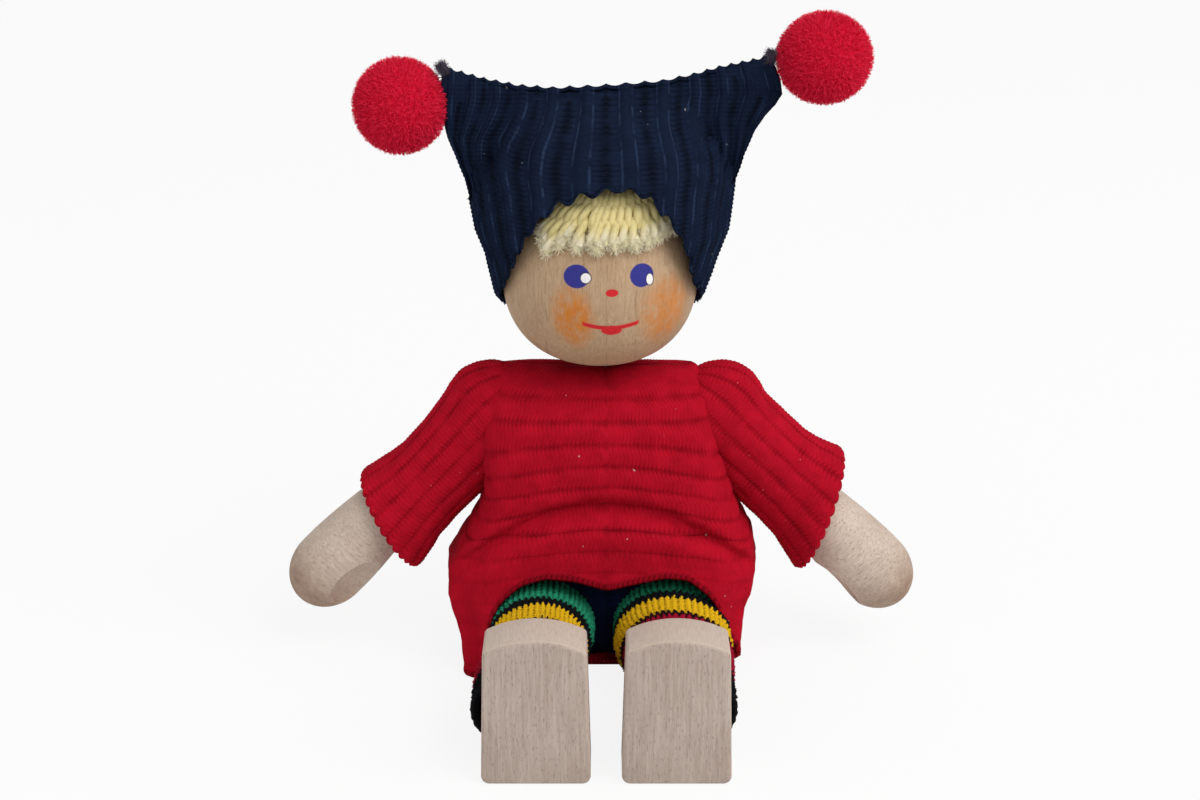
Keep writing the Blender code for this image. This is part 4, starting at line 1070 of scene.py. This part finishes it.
# Sleeves: tubes of the same red rib with the ribs running down the arm, gathered into the shoulders of
# the dress. The wrist edge is left raw, so that the ribs end in loops.
SLEEVE_RADIUS = 0.0076
SLEEVE_DEPTH_SHARES = (0.80, 0.95)
SLEEVE_RIBS = 15
SLEEVE_COLUMNS_PER_RIB = 12
SLEEVE_WALL = 0.0010
SLEEVE_LENGTHS = {"left": 0.0231, "right": 0.0244}
SLEEVE_SLANTS = {"left": 0.0045, "right": 0.0024}
SLEEVE_SWELLS = {"left": 1.10, "right": 1.02}
SLEEVE_LIFTS = {"left": 0.0008, "right": -0.0002}
SLEEVE_SHARES = ((0.00, 1.14), (0.08, 1.11), (0.15, 1.06), (0.22, 1.03), (0.42, 0.97), (0.65, 0.93),
                 (0.80, 0.97), (0.92, 1.06), (1.00, 1.12))

for side, sign in SIDES:
    shoulder = joint_places["shoulder_swing_" + side]
    elbow = joint_places["elbow_bend_" + side]
    axis = ARM_AXES[side]
    columns = SLEEVE_RIBS * SLEEVE_COLUMNS_PER_RIB
    angle = np.linspace(0, 2 * np.pi, columns, endpoint=False)[None, :]
    lower = -np.sin(angle) * sign * np.sign(frame_across(axis)[1].z) * sign
    dome_length = SLEEVE_RADIUS * np.pi / 2
    length = SLEEVE_LENGTHS[side] + SLEEVE_SLANTS[side] * lower
    rows = round((dome_length + SLEEVE_LENGTHS[side]) / DRESS_STITCH * 4)
    share = np.linspace(0, 1, rows)[:, None]
    distance = -dome_length * 0.95 + (length + dome_length * 0.95) * share
    bend = np.clip(-distance / SLEEVE_RADIUS, 0, np.pi / 2)
    swell = 1 + (SLEEVE_SWELLS[side] - 1) * ease(distance / SLEEVE_LENGTHS[side])
    tube = SLEEVE_RADIUS * swell * np.interp(distance / length, *np.array(SLEEVE_SHARES).T)
    along = np.where(distance < 0, -SLEEVE_RADIUS * np.sin(bend), distance)
    radius = np.where(distance < 0, SLEEVE_RADIUS * SLEEVE_SHARES[0][1] * np.cos(bend), tube)
    rib = angle / (2 * np.pi) * SLEEVE_RIBS + 0 * distance
    scallop = np.abs(np.sin(np.pi * rib * 2)) * ease((distance - length) / 0.0015 + 1)
    down_sleeve = ease(distance / length)
    depth_share = SLEEVE_DEPTH_SHARES[0] + (SLEEVE_DEPTH_SHARES[1] - SLEEVE_DEPTH_SHARES[0]) * down_sleeve
    outer = round_limb(shoulder, axis, along + scallop * 0.0005, radius, angle + 0 * along, depth_share)
    upper_side = np.array((sign * math.sin(ARM_DROOP), 0, math.cos(ARM_DROOP)))
    outer += (SLEEVE_LIFTS[side] * down_sleeve)[..., None] * upper_side
    sleeve_wall = knit_wall("sleeve", outer, rib, distance / DRESS_STITCH, 0.0, SLEEVE_WALL)
    sleeve_mesh = grown(
        "sleeve_tube_" + side, sleeve_wall, knit_tree, red_wool.material,
        rib_depth=0.00030, rib_power=0.65, stitch_depth=0.00005, wobble=0.0008, wobble_scale=150.0,
    )
    sleeve = show("sleeve_tube_" + side, sleeve_mesh)
    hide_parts("sleeve_" + side)
    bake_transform(sleeve)


# Fringe: short lengths of pale yellow two-ply yarn laid side by side and glued to the forehead. Their
# cut ends fray into soft white tufts.
YARN_LIT = (244, 236, 192)
YARN_SHADE = (224, 208, 146)
YARN_TUFT = (246, 240, 222)
STRAND_COUNT = 17
STRAND_RADIUS = 0.00058
STRAND_TURN = math.radians(43)
STRAND_TOP = math.radians(66)
STRAND_LOWS = (30, 27, 21, 24, 29, 25, 27, 25, 28, 26, 28, 26, 28, 30, 29, 31, 32)
STRAND_GAP = 2
TUFT_RADIUS = 0.00055

yarn = Finish("yellow_yarn", 0.85, gloss=0.1)
x, y, z = yarn.millimetres()
end_share = yarn.attribute("fray")
fibre_noise = yarn.noise([x * 7, y * 7, z * 3.5], 4.0, 0.7)
tone = yarn.attribute("ply_shade") * 0.6 + fibre_noise * 0.7
yarn_body = yarn.mix(tone.step(0.25, 0.95), seen(*YARN_SHADE), seen(*YARN_LIT))
yarn.paint("Base Color", yarn.mix(end_share * 0.8, yarn_body, seen(*YARN_TUFT)))
yarn.bump(fibre_noise, 0.0001)

yarn_nodes, yarn_in = geometry_tree(
    "plied_yarn", {"Ply radius": 0.0004, "Ply offset": 0.0003, "Twist length": 0.0030, "Step": 0.00018}
)
strand_curve = yarn_nodes.add("GeometryNodeMeshToCurve", (), {"Mesh": yarn_in["Geometry"]})
even_curve = yarn_nodes.add(
    "GeometryNodeResampleCurve", {"mode": "LENGTH"}, {"Curve": strand_curve, "Length": yarn_in["Step"]}
)
along_curve = yarn_nodes.add("GeometryNodeSplineParameter", output=1)
curve_share = yarn_nodes.add("GeometryNodeSplineParameter", output=0)
tangent = yarn_nodes.add("GeometryNodeInputTangent")
normal = yarn_nodes.add("GeometryNodeInputNormal")
sideways = yarn_nodes.add("ShaderNodeVectorMath", {"operation": "CROSS_PRODUCT"}, [tangent, normal])
twist = along_curve / yarn_in["Twist length"] * 2 * math.pi
plies = []
for ply in range(2):
    ply_turn = twist + ply * math.pi
    first = yarn_nodes.add(
        "ShaderNodeVectorMath", {"operation": "SCALE"},
        {0: normal, "Scale": ply_turn.math("COSINE") * yarn_in["Ply offset"]},
    )
    second = yarn_nodes.add(
        "ShaderNodeVectorMath", {"operation": "SCALE"},
        {0: sideways, "Scale": ply_turn.math("SINE") * yarn_in["Ply offset"]},
    )
    offset = yarn_nodes.add("ShaderNodeVectorMath", {"operation": "ADD"}, [first, second])
    moved = yarn_nodes.add("GeometryNodeSetPosition", (), {"Geometry": even_curve, "Offset": offset})
    tapered = yarn_nodes.add(
        "GeometryNodeSetCurveRadius", (), {"Curve": moved, "Radius": 1 - (curve_share ** 8) * 0.35}
    )
    shaded = yarn_nodes.add(
        "GeometryNodeStoreNamedAttribute", {"data_type": "FLOAT", "domain": "POINT"},
        {"Geometry": tapered, "Name": "fray", "Value": curve_share.step(0.80, 1.0)},
    )
    circle = yarn_nodes.add(
        "GeometryNodeCurvePrimitiveCircle", {"mode": "RADIUS"}, {"Resolution": 10, "Radius": yarn_in["Ply radius"]}
    )
    plies.append(
        yarn_nodes.add(
            "GeometryNodeCurveToMesh", (), {"Curve": shaded, "Profile Curve": circle, "Fill Caps": True}
        )
    )
joined = yarn_nodes.tree.nodes.new("GeometryNodeJoinGeometry")
for ply_mesh in plies:
    yarn_nodes.tree.links.new(ply_mesh.socket, joined.inputs[0])
yarn_tree = close_tree(yarn_nodes, Signal(yarn_nodes, joined.outputs[0]), yarn_in["Finish"])


def strand_mesh(name, strands):
    """Lines through lists of places, as one mesh of edges."""
    mesh = bpy.data.meshes.new(name)
    places, edges = [], []
    for strand in strands:
        edges += [(len(places) + step, len(places) + step + 1) for step in range(len(strand) - 1)]
        places += [tuple(place) for place in strand]
    mesh.from_pydata(places, edges, [])
    return mesh


fibre_nodes, fibre_in = geometry_tree(
    "fibres", {"Density": 1000.0, "Length": 0.001, "Thickness": 0.00003, "Lean": 0.5, "Seed": 1}
)
spread = fibre_nodes.tree.nodes.new("GeometryNodeDistributePointsOnFaces")
for socket_name in ("Geometry", "Density", "Seed"):
    signal = fibre_in[socket_name]
    socket_name = "Mesh" if socket_name == "Geometry" else socket_name
    fibre_nodes.tree.links.new(signal.socket, spread.inputs[socket_name])
spread_points = Signal(fibre_nodes, spread.outputs["Points"])
spread_turns = Signal(fibre_nodes, spread.outputs["Rotation"])
lean = fibre_nodes.add(
    "FunctionNodeRandomValue", {"data_type": "FLOAT_VECTOR"},
    {"Min": (-1, -1, -3.2), "Max": (1, 1, 3.2), "Seed": fibre_in["Seed"]},
)
tipped = fibre_nodes.add(
    "ShaderNodeVectorMath", {"operation": "MULTIPLY"},
    [lean, fibre_nodes.add("ShaderNodeCombineXYZ", (), [fibre_in["Lean"], fibre_in["Lean"], 1.0])],
)
tip_turn = fibre_nodes.add("FunctionNodeEulerToRotation", (), {"Euler": tipped})
turned = fibre_nodes.add(
    "FunctionNodeRotateRotation", {"rotation_space": "LOCAL"}, {"Rotation": spread_turns, "Rotate By": tip_turn}
)
bow = fibre_nodes.add(
    "GeometryNodeCurveQuadraticBezier", (),
    {"Resolution": 3, "Start": (0, 0, 0), "Middle": (0.25, 0, 0.55), "End": (0.05, 0.1, 1)},
)
bow_share = fibre_nodes.add("GeometryNodeSplineParameter", output=0)
thin_bow = fibre_nodes.add("GeometryNodeSetCurveRadius", (), {"Curve": bow, "Radius": 1 - bow_share * 0.8})
profile = fibre_nodes.add(
    "GeometryNodeCurvePrimitiveCircle", {"mode": "RADIUS"},
    {"Resolution": 3, "Radius": fibre_in["Thickness"] / fibre_in["Length"]},
)
fibre = fibre_nodes.add("GeometryNodeCurveToMesh", (), {"Curve": thin_bow, "Profile Curve": profile, "Fill Caps": True})
fibre_size = fibre_nodes.add(
    "FunctionNodeRandomValue", {"data_type": "FLOAT"}, {"Min": 0.75, "Max": 1.15, "Seed": fibre_in["Seed"]}, output=1
)
planted = fibre_nodes.add(
    "GeometryNodeInstanceOnPoints", (),
    {"Points": spread_points, "Instance": fibre, "Rotation": turned, "Scale": fibre_size * fibre_in["Length"]},
)
tint = fibre_nodes.add("FunctionNodeRandomValue", {"data_type": "FLOAT"}, {"Seed": fibre_in["Seed"]}, output=1)
tinted = fibre_nodes.add(
    "GeometryNodeStoreNamedAttribute", {"data_type": "FLOAT", "domain": "INSTANCE"},
    {"Geometry": planted, "Name": "tint", "Value": tint},
)
with_core = fibre_nodes.tree.nodes.new("GeometryNodeJoinGeometry")
for signal in (fibre_in["Geometry"], tinted):
    fibre_nodes.tree.links.new(signal.socket, with_core.inputs[0])
fibre_tree = close_tree(fibre_nodes, Signal(fibre_nodes, with_core.outputs[0]), fibre_in["Finish"])

chance = np.random.default_rng(7)
strands = []
tips = []
for index in range(STRAND_COUNT):
    turn = STRAND_TURN * (2 * index / (STRAND_COUNT - 1) - 1) + chance.normal(0, 0.012)
    if index == STRAND_GAP:
        turn -= 0.05
    low_turn = turn + chance.normal(0, 0.02)
    low_lift = math.radians(STRAND_LOWS[index] + chance.normal(0, 0.8))
    strand = []
    for share in np.linspace(0, 1, 14):
        lift = STRAND_TOP + (low_lift - STRAND_TOP) * share
        side_turn = turn * (0.72 + 0.28 * share) + (low_turn - turn) * share
        reach = head_radius + STRAND_RADIUS * (1.25 + 0.5 * math.sin(share * 3) + chance.normal(0, 0.05))
        flat = reach * math.cos(lift)
        strand.append(
            head_centre + Vector((flat * math.sin(side_turn), -flat * math.cos(side_turn), reach * math.sin(lift)))
        )
    strands.append(strand)
    tips.append((strand[-1], (strand[-1] - strand[-3]).normalized()))
plain_fringe = grown(
    "plain_fringe", strand_mesh("strands", strands), yarn_tree, yarn.material,
    ply_radius=0.00060, ply_offset=0.00032, twist_length=0.0054, step=0.00018,
)
fringe_mesh = grown(
    "yarn_fringe", plain_fringe, fibre_tree, yarn.material,
    density=2.2e6, length=0.0006, thickness=0.000028, lean=1.2, seed=4,
)
fringe = show("yarn_fringe", fringe_mesh)
tuft_shell = bmesh.new()
for tip, direction in tips:
    turn = direction.to_track_quat("Z", "Y").to_matrix().to_4x4()
    place = Matrix.Translation(tip) @ turn @ Matrix.Diagonal((1, 1, 1.5, 1))
    bmesh.ops.create_uvsphere(tuft_shell, u_segments=10, v_segments=8, radius=TUFT_RADIUS, matrix=place)
tuft_base = bpy.data.meshes.new("tufts")
tuft_shell.to_mesh(tuft_base)
tuft_shell.free()
tuft_finish = Finish("frayed_yarn", 0.9, gloss=0.05)
tuft_tone = tuft_finish.attribute("tint") * 0.5 + tuft_finish.noise([s * 3 for s in tuft_finish.millimetres()]) * 0.5
tuft_finish.paint("Base Color", tuft_finish.mix(tuft_tone, seen(*YARN_LIT), seen(*YARN_TUFT)))
tuft_mesh = grown(
    "frayed_ends", tuft_base, fibre_tree, tuft_finish.material,
    density=4.5e7, length=0.0009, thickness=0.00003, lean=0.9, seed=6,
)
tufts = show("frayed_ends", tuft_mesh)
for piece in (fringe, tufts):
    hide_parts("hair_fringe")
    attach(piece, "head")


# Hat: a tube of navy rib knit with the ribs running up, pulled over the head. Its top is sewn shut in a
# straight seam, so that the two corners stand out as flat ears. The hem is raw and arches over the face.
HAT_RIBS = 24
HAT_COLUMNS_PER_RIB = 17
HAT_SIDE_CROWDING = 0.25
HAT_STITCH = 0.00066
HAT_ROWS = 214
HAT_WALL = 0.0009
HAT_HEM = 0.0568
HAT_OPENING_TOP = 0.0789
HAT_OPENING_ANGLE = math.radians(48.0)
HAT_OPENING_POWER = 3.4
HAT_TOOTH = 0.0011
HAT_SEAM = ((-0.0241, 0.0941), (-0.0175, 0.0922), (-0.0126, 0.0912), (-0.0076, 0.0908), (0.0003, 0.0912),
            (0.0074, 0.0918), (0.0118, 0.0928), (0.0156, 0.0939), (0.0236, 0.0956))
HAT_WIDTHS = {
    "left": ((0.0565, 0.0148), (0.0605, 0.0153), (0.0662, 0.0172), (0.0700, 0.0186), (0.0774, 0.0195),
             (0.0811, 0.0208), (0.0847, 0.0228), (0.0865, 0.0240), (0.0883, 0.0256), (0.0900, 0.0266),
             (0.0925, 0.0262), (0.0955, 0.0248)),
    "right": ((0.0565, 0.0158), (0.0605, 0.0172), (0.0662, 0.0184), (0.0700, 0.0198), (0.0774, 0.0212),
              (0.0811, 0.0228), (0.0836, 0.0242), (0.0880, 0.0250), (0.0920, 0.0248), (0.0955, 0.0242)),
}
HAT_DEPTHS = ((0.0565, 0.0166), (0.0640, 0.0168), (0.0700, 0.0166), (0.0750, 0.0153), (0.0790, 0.0132),
              (0.0830, 0.0104), (0.0870, 0.0066), (0.0900, 0.0028), (0.0925, 0.0012), (0.0960, 0.0011))

HAT_CREASE = ((0.0700, 0.0225), (0.0760, 0.0200), (0.0880, 0.0132), (0.0920, 0.0114))
EAR_THICKNESS = 0.0013
HAT_SEAM_REACH = 0.0060
HAT_DEEP = (10, 13, 24)
HAT_LIT = (25, 36, 60)
HAT_FUZZ_AND_HIGHLIGHT = (52, 68, 98)

navy_wool = Finish("navy_wool", 0.93, gloss=0.04)
# The hat's knit colour carries painted highlight lines along the rib edges.
navy_wool.paint(
    "Base Color", knit_colour(navy_wool, HAT_DEEP, HAT_LIT, HAT_FUZZ_AND_HIGHLIGHT, fleck_amount=0.25, furrow_shade=0.46, lines=0.55)
)

fine = np.linspace(-np.pi, np.pi, 4001)
phase_of = HAT_RIBS * (fine - HAT_SIDE_CROWDING * np.sin(2 * fine) / 2) / (2 * np.pi)
hat_columns = HAT_RIBS * HAT_COLUMNS_PER_RIB
rib = np.linspace(-HAT_RIBS / 2, HAT_RIBS / 2, hat_columns, endpoint=False)[None, :]
angle = np.interp(rib, phase_of, fine)
tooth = np.abs(np.sin(2 * np.pi * rib)) ** 1.5
tooth_sizes = np.interp(rib, np.arange(-HAT_RIBS, HAT_RIBS) / 2, chance.uniform(0.4, 1.3, 2 * HAT_RIBS))
opening = (HAT_OPENING_TOP - HAT_HEM) / (1 + (np.abs(angle) / HAT_OPENING_ANGLE) ** HAT_OPENING_POWER)
hem = HAT_HEM + opening - HAT_TOOTH * tooth * tooth_sizes
hem += 0.0006 * np.sin(angle * 5 + 1)
share = np.linspace(0, 1, HAT_ROWS)[:, None]


def hat_width(height, angle):
    """Half width of the hat at a height, on the side that the angle is on."""
    left = np.interp(height, *np.array(HAT_WIDTHS["left"]).T)
    right = np.interp(height, *np.array(HAT_WIDTHS["right"]).T)
    part = ease(np.sin(angle) * 1.5 + 0.5)
    return right + (left - right) * part


top_x = 0.0241 * (2 * np.arcsin(np.sin(angle)) / np.pi)
seam = np.interp(top_x, *np.array(HAT_SEAM).T) - 0.0004 * np.abs(np.sin(2 * np.pi * rib))
height = hem + (seam - hem) * share
towards_seam = ease((height - 0.0790) / 0.0110)
side_share = np.sin(angle) * (1 - towards_seam) + 2 * np.arcsin(np.sin(angle)) / np.pi * towards_seam
width = hat_width(height, angle)
depth = np.interp(height, *np.array(HAT_DEPTHS).T)
crease = np.minimum(width, np.interp(height, *np.array(HAT_CREASE).T))
dome = depth * np.sqrt(np.clip(1 - (side_share * width / crease) ** 2, 0, 1))
to_seam = np.clip((seam - height) / HAT_SEAM_REACH, 0, 1)
dome = dome * np.sqrt(to_seam * (2 - to_seam))
ear = HAT_WALL + (EAR_THICKNESS - HAT_WALL) * to_seam
ear = ear * ease((height - 0.0700) / 0.0100) * np.abs(np.cos(angle)) ** 0.3
y = -np.sign(np.cos(angle)) * (dome**6 + ear**6) ** (1 / 6)
outer = np.stack([side_share * width, y, height], axis=-1)
hat_wall = knit_wall("hat", outer, rib, height / HAT_STITCH, 0.0, HAT_WALL)
hat_mesh = grown(
    "knitted_hat", hat_wall, knit_tree, navy_wool.material,
    rib_depth=0.00060, rib_power=1.2, rib_split=0.00020, stitch_depth=0.00007, wobble=0.0005, wobble_scale=140.0,
)
hat = show("knitted_hat", hat_mesh)
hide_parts("hat")
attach(hat, "head")


# Pompoms: balls of fine red fluff, each tied to a corner of the hat with a twist of thread. The fibres
# stand out all round a dense middle and are clipped to one length.
POMPOM_CORE_SHARE = 0.90
POMPOM_FIBRE = 0.0009
FLUFF_DEEP = (214, 19, 54)
FLUFF_LIT = (254, 54, 90)
TIE_COLOUR = (104, 92, 108)
POMPOM_SHAPES = {"left": (1.0, 1.0, 0.95), "right": (0.99, 1.0, 1.01)}
POMPOM_SHIFTS = {"left": (0, 0, -0.0001), "right": (-0.0003, 0, -0.0006)}

fluff = Finish("red_fluff", 0.95, gloss=0.03)
x, y, z = fluff.millimetres()
fluff_tone = fluff.attribute("tint") * 0.6 + fluff.noise([x * 1.5, y * 1.5, z * 1.5], 3.0) * 0.5
fluff.paint("Base Color", fluff.mix(fluff_tone.step(0.1, 0.9), seen(*FLUFF_DEEP), seen(*FLUFF_LIT)))

tie_thread = Finish("tie_thread", 0.9, gloss=0.05)
thread_tone = tie_thread.noise([signal * 8 for signal in tie_thread.millimetres()])
tie_thread.paint("Base Color", tie_thread.mix(thread_tone, seen(40, 40, 56), seen(*TIE_COLOUR)))

for side, sign in SIDES:
    low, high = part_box("pompom_" + side)
    radius = (high.z - low.z) / 2
    core = sphere_mesh("pompom_core", radius * POMPOM_CORE_SHARE, 64)
    core.transform(Matrix.Diagonal((*POMPOM_SHAPES[side], 1)))
    core.transform(Matrix.Translation((low + high) / 2 + Vector(POMPOM_SHIFTS[side])))
    ball_mesh = grown(
        "fluffy_pompom_" + side, core, fibre_tree, fluff.material,
        density=1.9e7, length=POMPOM_FIBRE, thickness=0.00004, lean=0.75, seed=3 + sign,
    )
    ball = show("fluffy_pompom_" + side, ball_mesh)
    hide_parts("pompom_" + side)
    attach(ball, "head")
    low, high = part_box("pompom_tie_" + side)
    middle = (low + high) / 2
    outward = ((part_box("pompom_" + side)[0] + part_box("pompom_" + side)[1]) / 2 - middle).normalized()
    across = outward.cross(Vector((0, 1, 0)))
    loops = []
    for loop in range(3):
        angles = np.linspace(0, 2 * math.pi, 25)
        shift = middle + outward * (loop - 1) * 0.00042
        loops.append([shift + (across * math.cos(a) + Vector((0, 1, 0)) * math.sin(a)) * 0.0008 for a in angles])
    plain_tie = grown(
        "plain_tie_" + side, strand_mesh("tie", loops), yarn_tree, tie_thread.material,
        ply_radius=0.00013, ply_offset=0.00010, twist_length=0.0011, step=0.00012,
    )
    tie_mesh = grown(
        "thread_tie_" + side, plain_tie, fibre_tree, tie_thread.material,
        density=2.5e7, length=0.0006, thickness=0.000025, lean=1.1, seed=8 + sign,
    )
    tie = show("thread_tie_" + side, tie_mesh)
    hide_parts("pompom_tie_" + side)
    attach(tie, "head")


# Floor and light: a plain pale ground under soft, even light, as in a picture of goods for sale. The
# floor looks white to the camera but still takes the doll's shadow.
FLOOR_SIZE = 3.0
LIGHT_SIZE = 0.9
LIGHT_HEIGHT = 0.9

floor_mesh = bpy.data.meshes.new("floor")
half = FLOOR_SIZE / 2
floor_mesh.from_pydata([(-half, -half, 0), (half, -half, 0), (half, half, 0), (-half, half, 0)], [], [(0, 1, 2, 3)])
floor_finish = Finish("white_floor", 0.9)
floor_finish.shader.inputs["Base Color"].default_value = (0.82, 0.82, 0.82, 1)
glow = floor_finish.add("ShaderNodeEmission", (), {"Color": (1, 1, 1, 1), "Strength": 1.0})
camera_ray = floor_finish.add("ShaderNodeLightPath", output=0)
glossy_ray = floor_finish.add("ShaderNodeLightPath", output=3)
see_white = camera_ray.math("MAXIMUM", glossy_ray) * 0.88
lit = Signal(floor_finish, floor_finish.shader.outputs[0])
mixed = floor_finish.add("ShaderNodeMixShader", (), {0: see_white, 1: lit, 2: glow})
floor_output = floor_finish.tree.nodes["Material Output"]
floor_finish.tree.links.new(mixed.socket, floor_output.inputs["Surface"])
floor = show("floor", floor_mesh, floor_finish.material)

world = bpy.data.worlds.new("soft_room")
bpy.context.scene.world = world
world.use_nodes = True
world_nodes = Nodes(world.node_tree)
sees = world_nodes.add("ShaderNodeLightPath", output=0).math(
    "MAXIMUM", world_nodes.add("ShaderNodeLightPath", output=3)
)
backdrop = world.node_tree.nodes["Background"]
backdrop.inputs["Color"].default_value = (1, 1, 1, 1)
world.node_tree.links.new((0.50 + sees * 0.50).socket, backdrop.inputs["Strength"])

for light_name, place, energy, size in (
    ("key", Vector((0.62, -0.48, LIGHT_HEIGHT)), 9.6, LIGHT_SIZE),
    ("fill", Vector((-0.8, -0.6, 0.5)), 1.2, LIGHT_SIZE),
):
    lamp = bpy.data.lights.new(light_name, "AREA")
    lamp.energy = energy
    lamp.size = size
    light = bpy.data.objects.new(light_name, lamp)
    light.location = place
    light.rotation_euler = (CAMERA_TARGET - place).to_track_quat("-Z", "Y").to_euler()
    bpy.context.scene.collection.objects.link(light)
